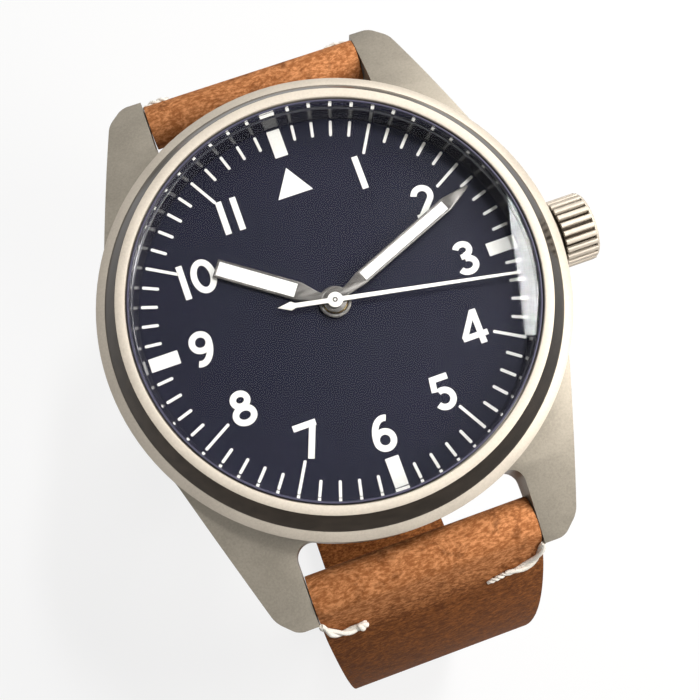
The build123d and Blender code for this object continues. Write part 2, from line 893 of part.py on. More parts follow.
with BuildPart() as ratchet_wheel:
    bore = barrel_arbor_radius + seat_gap
    extrude(
        toothed(barrel_place, ratchet_height, ratchet_teeth, module_ratchet, ratchet_phase, bore),
        ratchet_thickness,
    )
save(ratchet_wheel, "ratchet_wheel")

with BuildPart() as crown_wheel:
    extrude(
        toothed(crown_wheel_place, ratchet_height, crown_wheel_teeth, module_ratchet, crown_wheel_phase),
        ratchet_thickness,
    )
    contrate_height = bridge_top + level_gap / 2
    extrude(disc(crown_wheel_place, ratchet_height, crown_wheel_arbor), contrate_height - ratchet_height)
    extrude(disc(crown_wheel_place, contrate_height, contrate_radius + contrate_tooth), contrate_thickness)
    with BuildSketch(Plane.XY.offset(contrate_height + contrate_thickness)):
        with Locations(crown_wheel_place):
            with PolarLocations(contrate_radius, contrate_teeth, start_angle=180 / contrate_teeth):
                Rectangle(2 * contrate_tooth, contrate_tooth * 4 / 5)
    extrude(amount=contrate_tooth)
save(crown_wheel, "crown_wheel")

clutch_radius = 1.1
clutch_start_length = 7.7
clutch_length = 1.4
square_width = 0.7
stem_radius = 0.5
winding_length = 1.0
groove_start_length = 10.9
groove_length = 0.6
groove_core_radius = 0.25
pilot_radius = 0.3
pilot_start_length = 5.3
pilot_start = pilot_start_length
clutch_start = clutch_start_length
clutch_end = clutch_start + clutch_length
winding_start = clutch_end + level_gap
winding_end = winding_start + winding_length
groove_start = groove_start_length
groove_end = groove_start + groove_length
stem_end = crown_start + crown_bore_depth + stem_socket_length
stem_axis = (0, stem_height)

with BuildPart() as clutch:
    with BuildSketch(Plane.YZ.offset(clutch_start)):
        with Locations(stem_axis):
            Circle(clutch_radius)
            Rectangle(square_width + pivot_gap, square_width + pivot_gap, mode=Mode.SUBTRACT)
    extrude(amount=clutch_end - clutch_start)
save(clutch, "clutch")

with BuildPart() as winding_pinion:
    with BuildSketch(Plane.YZ.offset(winding_start)):
        with Locations(stem_axis):
            add(polygon(tooth_outline(winding_teeth, module_winding, -90)))
            Circle(stem_radius + pin_gap, mode=Mode.SUBTRACT)
    extrude(amount=winding_end - winding_start)
save(winding_pinion, "winding_pinion")

with BuildPart() as stem:
    for start, end, radius in (
        (pilot_start, clutch_start - stem_radius, pilot_radius),
        (winding_start, groove_start, stem_radius),
        (groove_start, groove_end, groove_core_radius),
        (groove_end, stem_end, stem_radius),
    ):
        with BuildSketch(Plane.YZ.offset(start)):
            with Locations(stem_axis):
                Circle(radius)
        extrude(amount=end - start)
    with BuildSketch(Plane.YZ.offset(clutch_start - stem_radius)):
        with Locations(stem_axis):
            Rectangle(square_width, square_width)
    extrude(amount=winding_start - clutch_start + stem_radius)
save(stem, "stem")

lever_pivot = (11.8, -2.9)
lever_pin = (11.2, -0.6)
lever_pin_radius = 0.2
lever_height = 3.3
lever_thickness = 0.35
lever_hub = 0.8
lever_arm = 0.7

with BuildPart() as setting_lever:
    with BuildSketch(Plane.XY.offset(lever_height)):
        with Locations(lever_pivot):
            Circle(lever_hub)
        with Locations(lever_pin):
            Circle(lever_arm / 2)
        middle = ((lever_pivot[0] + lever_pin[0]) / 2, (lever_pivot[1] + lever_pin[1]) / 2)
        with Locations(Location(middle, bearing(lever_pivot, lever_pin))):
            Rectangle(hypot(lever_pivot[0] - lever_pin[0], lever_pivot[1] - lever_pin[1]), lever_arm)
        with Locations(lever_pivot):
            Circle(minute_post_radius + pivot_gap, mode=Mode.SUBTRACT)
    extrude(amount=lever_thickness)
    extrude(disc(lever_pin, lever_height, lever_pin_radius), stem_height + stem_radius / 2 - lever_height)
save(setting_lever, "setting_lever")

ratchet_tip = module_ratchet * (ratchet_teeth / 2 + tooth_addendum_share)
click_place = polar(ratchet_tip + 1.2, 175, barrel_place)
click_nose = polar(ratchet_tip + level_gap / 2, 160, barrel_place)
click_hub = 0.65
click_post_radius = 0.3

with BuildPart() as click:
    with BuildSketch(Plane.XY.offset(ratchet_height)):
        line = bearing(click_place, click_nose)
        with Locations(click_place):
            Circle(click_hub)
        shoulders = [polar(click_hub, line + turn, click_place) for turn in (75, -75)]
        add(polygon([click_nose] + shoulders))
        with Locations(click_place):
            Circle(click_post_radius + pivot_gap, mode=Mode.SUBTRACT)
    extrude(amount=ratchet_thickness)
save(click, "click")

# Plate, bridges and cocks


def sector(outer, inner, start, end, height):
    """A slice of a flat ring about the hands' axis, between two angles."""
    reach = 2 * outer
    with BuildSketch(Plane.XY.offset(height)) as plan:
        Circle(outer)
        Circle(inner, mode=Mode.SUBTRACT)
        middle = (start + end) / 2
        add(
            polygon([(0, 0), polar(reach, start), polar(2 * reach, middle), polar(reach, end)]),
            mode=Mode.INTERSECT,
        )
    return plan.sketch


def bar_plan(start, end, width, start_radius, end_radius, height):
    """A straight bar's plan from a round end to another."""
    with BuildSketch(Plane.XY.offset(height)) as plan:
        with Locations(start):
            Circle(start_radius)
        with Locations(end):
            Circle(end_radius)
        middle = ((start[0] + end[0]) / 2, (start[1] + end[1]) / 2)
        with Locations(Location(middle, bearing(start, end))):
            Rectangle(hypot(start[0] - end[0], start[1] - end[1]), width)
    return plan.sketch


def stem_hole(start, end, radius):
    """A plan circle for a hole round the stem's axis."""
    with BuildSketch(Plane.YZ.offset(start)) as plan:
        with Locations(stem_axis):
            Circle(radius)
    return plan.sketch


centre_cock_foot = (5.6, -2.6)
centre_cock_height = sleeve_foot
centre_cock_ring = 0.95
pallet_cock_foot = polar(3.2, escape_line_angle - 90, fork_place)
cock_foot_radius = 0.85
lever_post_foot = lever_height - level_gap
stem_block_length = 0.45
stem_block_width = 1.4
stem_block_inner_x = pilot_start + 3 * stem_block_length
stem_block_middle_x = (winding_end + groove_start) / 2
stem_block_rim_x = movement_radius - stem_block_length

with BuildPart() as main_plate:
    extrude(disc(centre, plate_height, movement_radius), plate_thickness)
    rim = ring(movement_radius, movement_radius - plate_rim_wall, plate_top)
    extrude(rim, dial_bottom - seat_gap - plate_top)
    slot_wall = winding_tip + level_gap
    slot_length = winding_end - clutch_start + 5 * level_gap
    with Locations(((winding_end + clutch_start) / 2, 0, plate_height)):
        Box(slot_length, 2 * slot_wall, 2 * (stem_height + slot_wall - plate_height), mode=Mode.SUBTRACT)
    extrude(disc(minute_place, plate_top, minute_post_radius), dial_bottom - seat_gap - plate_top)
    extrude(disc(lever_pivot, lever_post_foot, minute_post_radius), plate_height - lever_post_foot)
    bearing_foot = lever_height + lever_thickness + level_gap
    bearing_height = plate_height - bearing_foot
    for x in (stem_block_inner_x, stem_block_middle_x, stem_block_rim_x):
        with Locations((x, 0, bearing_foot + bearing_height / 2)):
            Box(stem_block_length, stem_block_width, bearing_height)
    extrude(stem_hole(winding_end, movement_radius, stem_radius + pin_gap), overrun * 4, mode=Mode.SUBTRACT)
    extrude(stem_hole(pilot_start, winding_start, pilot_radius + pin_gap), overrun * 2, mode=Mode.SUBTRACT)
    for place, radius in (
        (third_place, arbor_radius),
        (escape_place, arbor_radius),
        (fork_place, arbor_radius),
        (balance_place, arbor_radius),
        (barrel_place, barrel_arbor_radius),
        (centre, sleeve_radius),
    ):
        extrude(
            disc(place, plate_height - overrun, radius + pivot_gap),
            plate_thickness + 2 * overrun,
            mode=Mode.SUBTRACT,
        )
save(main_plate, "main_plate")

bridge_reach = movement_radius + overrun
foot_inner = movement_radius - bridge_foot_wall
foot_top = plate_height


def bridge(outline, holes, feet):
    """A bridge: its outline within the movement's circle, its pivot holes and its feet up to the plate."""
    with BuildPart() as piece:
        with BuildSketch(Plane.XY.offset(bridge_height)):
            Circle(movement_radius)
            add(polygon(outline), mode=Mode.INTERSECT)
        extrude(amount=bridge_thickness)
        for start, end in feet:
            foot = sector(movement_radius, foot_inner, start, end, bridge_height)
            extrude(foot, foot_top - bridge_height)
        for place, radius in holes:
            extrude(
                disc(place, bridge_height - overrun, radius + pivot_gap),
                bridge_thickness + 2 * overrun,
                mode=Mode.SUBTRACT,
            )
    return piece


barrel_bridge = bridge(
    [
        (-bridge_reach, 1.2),
        (3.0, 1.2),
        (4.6, -2.0),
        (bridge_reach, -2.0),
        (bridge_reach, bridge_reach),
        (-bridge_reach, bridge_reach),
    ],
    [(barrel_place, barrel_arbor_radius), (crown_wheel_place, crown_wheel_arbor)],
    [(20, 80), (100, 160)],
)
with BuildPart() as click_post:
    post_foot = ratchet_height - level_gap / 2
    extrude(disc(click_place, post_foot, click_post_radius), bridge_height - post_foot)
barrel_bridge.part = barrel_bridge.part + click_post.part
save(barrel_bridge, "barrel_bridge")

train_bridge = bridge(
    [
        (-bridge_reach, 0.9),
        (2.8, 0.9),
        (3.4, -0.4),
        (1.8, -4.6),
        (0.2, -5.6),
        (-1.5, -bridge_reach),
        (-bridge_reach, -bridge_reach),
    ],
    [
        (third_place, arbor_radius),
        (centre, seconds_arbor_radius),
        (escape_place, arbor_radius),
    ],
    [(190, 255)],
)
save(train_bridge, "train_bridge")

cock_line = bearing(centre, balance_place)
with BuildPart() as balance_cock:
    extrude(
        bar_plan(balance_place, polar(movement_radius - overrun, cock_line), 2.4, 1.3, 1.2, bridge_height),
        bridge_thickness,
    )
    with BuildSketch(Plane.XY.offset(bridge_height)):
        Circle(movement_radius)
    extrude(amount=bridge_thickness, mode=Mode.INTERSECT)
    foot = sector(movement_radius, foot_inner, cock_line - 12, cock_line + 12, bridge_height)
    extrude(foot, foot_top - bridge_height)
    extrude(
        disc(balance_place, bridge_height - overrun, arbor_radius + pivot_gap),
        bridge_thickness + 2 * overrun,
        mode=Mode.SUBTRACT,
    )
save(balance_cock, "balance_cock")

with BuildPart() as pallet_cock:
    extrude(
        bar_plan(fork_place, pallet_cock_foot, 1.0, 0.6, cock_foot_radius, cock_height), cock_thickness
    )
    extrude(disc(pallet_cock_foot, cock_height, cock_foot_radius), plate_height - cock_height)
    extrude(
        disc(fork_place, cock_height - overrun, arbor_radius + pivot_gap),
        cock_thickness + 2 * overrun,
        mode=Mode.SUBTRACT,
    )
save(pallet_cock, "pallet_cock")

with BuildPart() as centre_cock:
    extrude(
        bar_plan(centre, centre_cock_foot, 1.0, centre_cock_ring, cock_foot_radius, centre_cock_height),
        cock_thickness,
    )
    extrude(disc(centre_cock_foot, centre_cock_height, cock_foot_radius), plate_height - centre_cock_height)
    extrude(
        disc(centre, centre_cock_height - overrun, sleeve_radius + pivot_gap),
        cock_thickness + 2 * overrun,
        mode=Mode.SUBTRACT,
    )
save(centre_cock, "centre_cock")

boss_top = back_thickness + back_boss_height

with BuildPart() as movement_ring:
    extrude(
        ring(bore_radius - seat_gap, movement_radius + seat_gap, boss_top + seat_gap),
        dial_bottom - boss_top - 2 * seat_gap,
    )
    with Locations(along_x(bore_radius, 0, stem_height)):
        Cylinder(2 * stem_radius, 2 * (bore_radius - movement_radius) + 4 * overrun, mode=Mode.SUBTRACT)
save(movement_ring, "movement_ring")

# Case back and its gasket

gasket_inner = bore_radius + 3 * level_gap
gasket_foot = case_foot_height - back_gasket_height

with BuildPart() as case_back:
    extrude(disc(centre, 0, back_radius), back_thickness)
    chamfer(case_back.faces().sort_by(Axis.Z)[0].edges(), back_bevel)
    boss_wall = (bore_radius - movement_radius) * back_boss_share
    boss = ring(bore_radius - pivot_gap, bore_radius - pivot_gap - boss_wall, back_thickness)
    extrude(boss, back_boss_height)
    extrude(
        ring(gasket_inner + back_gasket_wall + seat_gap, gasket_inner - seat_gap, gasket_foot - seat_gap),
        back_thickness,
        mode=Mode.SUBTRACT,
    )
    with BuildSketch():
        with PolarLocations(back_radius, back_notches):
            Rectangle(2 * back_notch_depth, back_notch_width)
    extrude(amount=back_thickness / 2, mode=Mode.SUBTRACT)
save(case_back, "case_back")

with BuildPart() as case_back_gasket:
    extrude(ring(gasket_inner + back_gasket_wall, gasket_inner, gasket_foot), back_gasket_height)
save(case_back_gasket, "case_back_gasket")

# Crown, its tube and its gasket

crown_end = crown_start + crown_length
crown_radius = crown_diameter / 2
tube_end = crown_start + tube_reach


def turned_on_stem(points):
    """A profile of distances out along the stem and radii round it."""
    return polygon([(x, stem_height + radius) for x, radius in points], Plane.XZ)


stem_line = Axis((0, 0, stem_height), (1, 0, 0))

with BuildPart() as crown:
    revolve(
        turned_on_stem(
            [
                (crown_start, crown_bore / 2),
                (crown_start, crown_radius - crown_bevel),
                (crown_start + crown_bevel, crown_radius),
                (crown_end - crown_dome - crown_bevel, crown_radius),
                (crown_end - crown_dome, crown_radius - crown_bevel),
                (crown_end, 0),
                (stem_end + seat_gap, 0),
                (stem_end + seat_gap, stem_radius + seat_gap),
                (crown_start + crown_bore_depth, stem_radius + seat_gap),
                (crown_start + crown_bore_depth, crown_bore / 2),
            ]
        ),
        axis=stem_line,
    )
    with BuildSketch(Plane.YZ.offset(crown_start - overrun)):
        with Locations(stem_axis):
            with PolarLocations(crown_radius, crown_ribs, start_angle=90):
                Rectangle(crown_rib_groove, crown_rib_groove * 3 / 2, rotation=45)
    extrude(amount=crown_length + overrun, mode=Mode.SUBTRACT)
save(crown, "crown")

tube_start = bore_radius + level_gap

with BuildPart() as crown_tube:
    with BuildSketch(Plane.YZ.offset(tube_start)):
        with Locations(stem_axis):
            Circle(tube_diameter / 2)
            Circle(tube_bore / 2, mode=Mode.SUBTRACT)
    extrude(amount=tube_end - tube_start)
save(crown_tube, "crown_tube")

with BuildPart() as crown_gasket:
    with BuildSketch(Plane.YZ.offset(crown_start + crown_bevel)):
        with Locations(stem_axis):
            Circle(crown_bore / 2 - seat_gap)
            Circle(tube_diameter / 2 + seat_gap, mode=Mode.SUBTRACT)
    extrude(amount=crown_gasket_wall * 3)
save(crown_gasket, "crown_gasket")

# Spring bars, strap halves, keepers and buckle

for name, side in (("spring_bar_upper", 1), ("spring_bar_lower", -1)):
    with BuildPart() as spring_bar:
        with Locations(along_x(0, side * bar_y, bar_height)):
            Cylinder(bar_tube_radius, lug_gap - 2 * strap_gap)
            Cylinder(bar_tip_radius, lug_gap + 2 * bar_tip_length)
    save(spring_bar, name)


def walk(start, heading, path):
    """Points and headings at the start, middle and end of each piece of a path of straights and arcs."""
    stations = []
    point, turn = start, heading
    for length, bend in path:
        marks = [(point, turn)]
        for share in (0.5, 1.0):
            if bend:
                radius = length / radians(abs(bend))
                sign = 1 if bend > 0 else -1
                now = turn + bend * share
                x = point[0] + sign * radius * (sin(radians(now)) - sin(radians(turn)))
                y = point[1] - sign * radius * (cos(radians(now)) - cos(radians(turn)))
            else:
                now = turn
                x, y = polar(length * share, turn, point)
            marks.append(((x, y), now))
        stations.append(marks)
        point, turn = marks[2]
    return stations


def ribbon(stations, thickness, mirrored):
    """A strip's closed side profile, half its thickness to each side of a path."""
    side_of = -1 if mirrored else 1
    with BuildSketch(Plane.YZ) as shape:
        with BuildLine():
            ends = []
            for offset in (thickness / 2, -thickness / 2):
                row = []
                for marks in stations:
                    points = [polar(offset, turn + 90, point) for point, turn in marks]
                    points = [(side_of * x, y) for x, y in points]
                    row += [points[0], points[2]]
                    if abs(marks[2][1] - marks[0][1]) > seat_gap:
                        ThreePointArc(*points)
                    else:
                        Line(points[0], points[2])
                ends.append((row[0], row[-1]))
            Line(ends[0][0], ends[1][0])
            Line(ends[0][1], ends[1][1])
        make_face()
    return shape.sketch


# Each half leaves its loop on the outer side and falls away in arcs: a radius and a turn in degrees.
upper_start_angle = -70
upper_fall_radius = 45.5
upper_fall_angle = -20
close_radius = 45.0
close_angle = -15
under_radius = 17.0
under_angle = -75
end_run_length = 6.5
lower_start_angle = -55
lower_fall_radius = 50.0
lower_fall_angle = -30
long_radius = 78.7
long_angle = -17.5
loop_offset_share = 0.97


def arc(radius, bend):
    """A path piece from its radius and turn."""
    return radius * radians(abs(bend)), bend


def leaving(heading):
    """Where a half's middle line starts: off the bar's centre, so its outer side runs on from the loop."""
    offset = loop_offset_share * (strap_loop_radius - strap_thickness / 2)
    return polar(offset, heading + 90, (bar_y, bar_height))


upper_fall = [arc(upper_fall_radius, upper_fall_angle), arc(close_radius, close_angle)]
upper_end = [arc(under_radius, under_angle), (end_run_length, 0)]
upper_path = walk(leaving(upper_start_angle), upper_start_angle, upper_fall + upper_end)
lower_fall = [arc(lower_fall_radius, lower_fall_angle), arc(long_radius, long_angle)]
knee, knee_turn = walk(leaving(lower_start_angle), lower_start_angle, lower_fall)[-1][2]
floor_line = -strap_drop + strap_thickness / 2
last_bend = -180 - knee_turn
last_radius = (knee[1] - floor_line) / (1 + cos(radians(knee_turn)))
lower_curves = lower_fall + [arc(last_radius, last_bend)]
flat_start = walk(leaving(lower_start_angle), lower_start_angle, lower_curves)[-1][2][0][0]
lower_end = [(flat_start + strap_tail_end, 0)]
lower_path = walk(leaving(lower_start_angle), lower_start_angle, lower_curves + lower_end)
buckle_point = upper_path[-1][2][0]


def taper():
    """The strap's width seen from its end: full at the lugs, narrower at the floor."""
    top = 4 * overrun
    foot = -strap_drop - overrun
    wide, narrow = strap_width / 2, strap_end_width / 2
    return polygon(
        [(wide, top), (wide, 0), (narrow, -strap_drop * 3 / 4), (narrow, foot)]
        + [(-narrow, foot), (-narrow, -strap_drop * 3 / 4), (-wide, 0), (-wide, top)],
        Plane.XZ,
    )


with BuildPart() as strap_upper:
    extrude(ribbon(upper_path, strap_thickness, False), strap_width / 2, both=True)
    extrude(taper(), strap_drop * 2, both=True, mode=Mode.INTERSECT)
    with Locations(along_x(0, bar_y, bar_height)):
        Cylinder(strap_loop_radius, strap_width)
        Cylinder(bar_tube_radius + pin_gap, strap_width + overrun, mode=Mode.SUBTRACT)
    with Locations(along_x(0, *buckle_point)):
        Cylinder(buckle_loop_radius, strap_end_width)
        Cylinder(bar_tube_radius + pin_gap, strap_end_width + overrun, mode=Mode.SUBTRACT)
    with Locations((0, buckle_point[0] - overrun, buckle_point[1])):
        Box(tongue_slot, 4 * buckle_loop_radius, 4 * buckle_loop_radius, mode=Mode.SUBTRACT)
save(strap_upper, "strap_upper")

with BuildPart() as strap_lower:
    extrude(ribbon(lower_path, strap_thickness, True), strap_width / 2, both=True)
    extrude(taper(), strap_drop * 2, both=True, mode=Mode.INTERSECT)
    with Locations(along_x(0, -bar_y, bar_height)):
        Cylinder(strap_loop_radius, strap_width)
        Cylinder(bar_tube_radius + pin_gap, strap_width + overrun, mode=Mode.SUBTRACT)
    with BuildSketch(Plane.XY.offset(-strap_drop - overrun)):
        with BuildLine():
            edge = strap_end_width / 2
            shoulder = strap_tail_end - tip_length
            ThreePointArc((edge, shoulder), (0, strap_tail_end), (-edge, shoulder))
            Polyline((-edge, shoulder), (-edge, 0), (-strap_width, 0), (-strap_width, -strap_drop))
            Line((-strap_width, -strap_drop), (strap_width, -strap_drop))
            Polyline((strap_width, -strap_drop), (strap_width, 0), (edge, 0), (edge, shoulder))
        make_face()
    extrude(amount=strap_drop + 6 * overrun, mode=Mode.INTERSECT)
    last_hole = strap_tail_end - hole_from_tip
    with Locations(*[(0, last_hole - hole_pitch * count, floor_line) for count in range(hole_count)]):
        Cylinder(hole_radius, 2 * strap_thickness, mode=Mode.SUBTRACT)
save(strap_lower, "strap_lower")

# Keepers ride the last curve before the buckle, so they turn about its centre.
curve_start, curve_turn = upper_path[2][0]
keeper_centre = (
    curve_start[0] + under_radius * sin(radians(curve_turn)),
    curve_start[1] - under_radius * cos(radians(curve_turn)),
)
keeper_span = degrees(keeper_length / under_radius)
fixed_angle = -80.0
sliding_angle = -50.0


def keeper(angle):
    """A loop round the strap and the tail's room outside it, a slice of a ring about the curve's centre."""
    start = radians(angle - keeper_span / 2)
    out = (0, cos(start), sin(start))
    inner = under_radius - strap_thickness / 2 - keeper_gap
    outer = under_radius + strap_thickness * 3 / 2 + 2 * keeper_gap
    wide = strap_end_width / 2 + 2 * keeper_gap
    plane = Plane(origin=(0, *keeper_centre), x_dir=(1, 0, 0), z_dir=(0, -out[2], out[1]))
    with BuildPart() as piece:
        with BuildSketch(plane) as frame:
            with Locations((0, (inner + outer) / 2)):
                Rectangle(2 * (wide + keeper_wall), outer - inner + 2 * keeper_wall)
                Rectangle(2 * wide, outer - inner, mode=Mode.SUBTRACT)
        revolve(axis=Axis((0, *keeper_centre), (1, 0, 0)), revolution_arc=keeper_span)
    return piece


keeper_fixed = keeper(fixed_angle)
save(keeper_fixed, "keeper_fixed")
keeper_sliding = keeper(sliding_angle)
save(keeper_sliding, "keeper_sliding")

leg_inner = strap_end_width / 2 + 2 * keeper_gap
leg_outer = leg_inner + buckle_wire
frame_front = buckle_point[0] - buckle_reach
frame_back = buckle_point[0] + buckle_wire

with BuildPart() as buckle_frame:
    with BuildSketch(Plane.XY.offset(buckle_point[1] - buckle_wire / 2)):
        corner = buckle_wire
        with BuildLine():
            Polyline(
                (leg_outer, frame_back),
                (leg_outer, frame_front),
                (leg_outer - corner, frame_front - corner),
                (corner - leg_outer, frame_front - corner),
                (-leg_outer, frame_front),
                (-leg_outer, frame_back),
                (-leg_inner, frame_back),
                (-leg_inner, frame_front),
                (leg_inner, frame_front),
                (leg_inner, frame_back),
                close=True,
            )
        make_face()
    extrude(amount=buckle_wire)
    with Locations(along_x(0, *buckle_point)):
        Cylinder(bar_tube_radius + seat_gap, 3 * leg_outer, mode=Mode.SUBTRACT)
save(buckle_frame, "buckle_frame")

with BuildPart() as buckle_bar:
    with Locations(along_x(0, *buckle_point)):
        Cylinder(bar_tube_radius, 2 * leg_outer)
save(buckle_bar, "buckle_bar")

with BuildPart() as buckle_tongue:
    with Locations(along_x(0, *buckle_point)):
        Cylinder(buckle_loop_radius, tongue_width)
    tongue_top = buckle_point[1] - buckle_wire / 2 - pin_gap
    tongue_end = frame_front - buckle_wire
    with Locations((0, (buckle_point[0] + tongue_end) / 2, tongue_top - tongue_thickness / 2)):
        Box(tongue_width, buckle_point[0] - tongue_end, tongue_thickness)
    with Locations(along_x(0, *buckle_point)):
        Cylinder(bar_tube_radius + pin_gap, 2 * tongue_width, mode=Mode.SUBTRACT)
save(buckle_tongue, "buckle_tongue")
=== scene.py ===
import json
import math

import bmesh
import bpy
from mathutils import Matrix, Quaternion, Vector
from mathutils.geometry import delaunay_2d_cdt


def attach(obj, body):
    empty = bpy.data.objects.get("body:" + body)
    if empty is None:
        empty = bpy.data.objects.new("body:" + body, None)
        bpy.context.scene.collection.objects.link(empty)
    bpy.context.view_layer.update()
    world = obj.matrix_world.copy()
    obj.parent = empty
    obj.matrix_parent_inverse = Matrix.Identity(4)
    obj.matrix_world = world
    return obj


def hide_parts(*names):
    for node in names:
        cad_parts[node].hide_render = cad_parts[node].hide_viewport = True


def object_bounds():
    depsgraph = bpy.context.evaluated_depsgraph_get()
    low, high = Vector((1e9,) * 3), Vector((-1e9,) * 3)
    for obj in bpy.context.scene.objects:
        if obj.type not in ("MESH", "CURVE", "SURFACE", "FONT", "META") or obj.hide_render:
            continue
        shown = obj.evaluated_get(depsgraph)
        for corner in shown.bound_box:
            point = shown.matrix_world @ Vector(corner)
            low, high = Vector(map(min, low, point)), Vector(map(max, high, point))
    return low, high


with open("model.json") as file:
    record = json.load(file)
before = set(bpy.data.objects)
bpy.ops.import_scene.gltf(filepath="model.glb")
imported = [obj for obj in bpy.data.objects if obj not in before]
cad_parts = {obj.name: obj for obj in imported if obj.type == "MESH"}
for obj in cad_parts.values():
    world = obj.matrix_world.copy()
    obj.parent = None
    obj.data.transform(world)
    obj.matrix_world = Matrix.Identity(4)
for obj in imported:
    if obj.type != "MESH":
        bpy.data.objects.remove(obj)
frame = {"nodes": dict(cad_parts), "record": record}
cad_low, cad_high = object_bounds()
nodes = frame["nodes"]

MM = 0.001
TURN = 2 * math.pi
WHITE = (1, 1, 1, 1)

# shapes, in mm and degrees
ON_AXIS = 1e-6              # a lathe radius below this is a point on the axis
MERGED = 2e-6               # metres; vertices of a node's mesh this close become one
OUTLINE_STEP = 1e-5         # how finely plate() tells points apart
PLATE_FLAT = 1              # plate() joins faces that bend less than this
SHARP_ANGLE = 32            # copied() rounds the edges that bend more than this
FLAT_ANGLE = 0.4            # copied() joins faces that bend less than this
LUG_END, LUG_SIDE = 22.5, 11.2      # an edge past both is an outer corner of a lug
UPRIGHT_SHARE = 0.8         # how much of such an edge's length is height
SHOULDER_INNER, SHOULDER_OUTER, SHOULDER_LEVEL = 18.7, 19.9, 8.42    # the satin ring round the bezel
FACING_UP = 0.5             # a face whose normal has more Z than this faces up
CROWN_FOOT, CROWN_HEIGHT = 20.3, 4.4

# dial, in mm
DIAL_TOP = 7.38             # foot of the printing
PRINT_THICKNESS = 0.08
PRINT_TOP = DIAL_TOP + PRINT_THICKNESS
MARK_RADIUS = 16.15         # outer end of ticks and blocks
NUMERAL_RADIUS = 11.65      # middle of each numeral
NUMERAL_HEIGHT = 3.0
PEN = 0.53                  # width of the numerals' lines
MITRE_LIMIT = 0.35          # keeps the sharp corners of a pen line from reaching far out
NO_SKIP = 99                # a Skip that no mark's number reaches
FUZZ = 0.07                 # how far the noise lifts a thread's fibres

# surroundings, in metres and shares
FLOOR_REACH = 1.5
FLOOR_GAP = 0.00005         # keeps the strap's tail from lying in the floor's plane
FLOOR_GLOW = 0.80           # how much of the floor's look is plain white
SOFT_LIGHT = 0.20           # strength of the light from all round


def placed(name, data):
    """An object of this data, linked to the scene."""
    made = bpy.data.objects.new(name, data)
    bpy.context.scene.collection.objects.link(made)
    return made


# ------------------------------------------------------------------ camera
camera_place = (-0.007087, -0.019842, 0.094413)
camera_right = (0.94135432, -0.33712951, 0.01399029)
camera_up = (0.3282867, 0.92466848, 0.1929146)
camera_back = (-0.07797358, -0.17700817, 0.98111581)
camera_data = bpy.data.cameras.new("camera")
camera_data.lens = 54.98
camera_data.sensor_width = 36
camera_data.clip_start = 0.001
camera_data.clip_end = 10
camera = placed("camera", camera_data)
camera.matrix_world = Matrix(
    [[camera_right[i], camera_up[i], camera_back[i], camera_place[i]] for i in range(3)] + [[0, 0, 0, 1]]
)
bpy.context.scene.camera = camera


# ------------------------------------------------------------------ nodes
def add(tree, kind, inputs=None, **settings):
    """A node with its settings; each input is given a plain value or the socket that feeds it."""
    made = tree.nodes.new(kind)
    for key, value in settings.items():
        setattr(made, key, value)
    for key, value in (inputs or {}).items():
        if isinstance(value, bpy.types.NodeSocket):
            tree.links.new(value, made.inputs[key])
        else:
            made.inputs[key].default_value = value
    return made


def math_node(tree, operation, *terms):
    return add(tree, "ShaderNodeMath", dict(enumerate(terms)), operation=operation).outputs[0]


def times(tree, first, second):
    return math_node(tree, "MULTIPLY", first, second)


def plus(tree, first, second):
    return math_node(tree, "ADD", first, second)


def minus(tree, first, second):
    return math_node(tree, "SUBTRACT", first, second)


def vector_node(tree, operation, inputs):
    return add(tree, "ShaderNodeVectorMath", inputs, operation=operation).outputs[0]


def mix_colour(tree, share, first, second):
    """A mix of two colours; 0, 6 and 7 are the colour mix's share and its two colours."""
    return add(tree, "ShaderNodeMix", {0: share, 6: first, 7: second}, data_type="RGBA").outputs[2]


def ramp(tree, value, low, high, start=0.0, end=1.0):
    """A smooth step from start to end while the value goes from low to high."""
    limits = {"From Min": low, "From Max": high, "To Min": start, "To Max": end}
    return add(tree, "ShaderNodeMapRange", {**limits, "Value": value}, interpolation_type="SMOOTHSTEP").outputs[0]


def mixed_surface(tree, share, first, second, sink):
    """Gives the output node the first shader, or the second where share is 1."""
    mixed = add(tree, "ShaderNodeMixShader", {0: share, 1: first.outputs[0], 2: second.outputs[0]})
    tree.links.new(mixed.outputs[0], tree.nodes[sink].inputs["Surface"])


def add_inputs(tree, inputs):
    """Named inputs of a tree, each with its kind and, if it isn't None, its first value."""
    for label, kind, value in inputs:
        socket = tree.interface.new_socket(label, in_out="INPUT", socket_type=kind)
        if value is not None:
            socket.default_value = value


def shader_group(name, inputs, outputs):
    """A group that takes a Vector and numbers, and gives numbers."""
    tree = bpy.data.node_groups.new(name, "ShaderNodeTree")
    add_inputs(tree, [("Vector", "NodeSocketVector", None)])
    add_inputs(tree, [(label, "NodeSocketFloat", value) for label, value in inputs])
    for label in outputs:
        tree.interface.new_socket(label, in_out="OUTPUT", socket_type="NodeSocketFloat")
    return tree, tree.nodes.new("NodeGroupInput").outputs, tree.nodes.new("NodeGroupOutput")


def noise(tree, vector, scale, detail, **more):
    """The height of a noise texture."""
    inputs = {"Vector": vector, "Scale": scale, "Detail": detail, **more}
    return add(tree, "ShaderNodeTexNoise", inputs).outputs["Fac"]


def give(tree, sink, results):
    """Links results to a group's outputs by name."""
    for label, socket in results.items():
        tree.links.new(socket, sink.inputs[label])


def grain_group():
    """Fine even grain of a blasted or cast surface: a tone and a height."""
    tree, given, sink = shader_group("fine_grain", [("Scale", 900.0), ("Cloud", 60.0)], ["Tone", "Height"])
    fine = noise(tree, given["Vector"], given["Scale"], 3.0, Roughness=0.65)
    broad = noise(tree, given["Vector"], given["Cloud"], 2.0)
    give(tree, sink, {"Tone": plus(tree, times(tree, fine, 0.6), times(tree, broad, 0.4)), "Height": fine})
    return tree


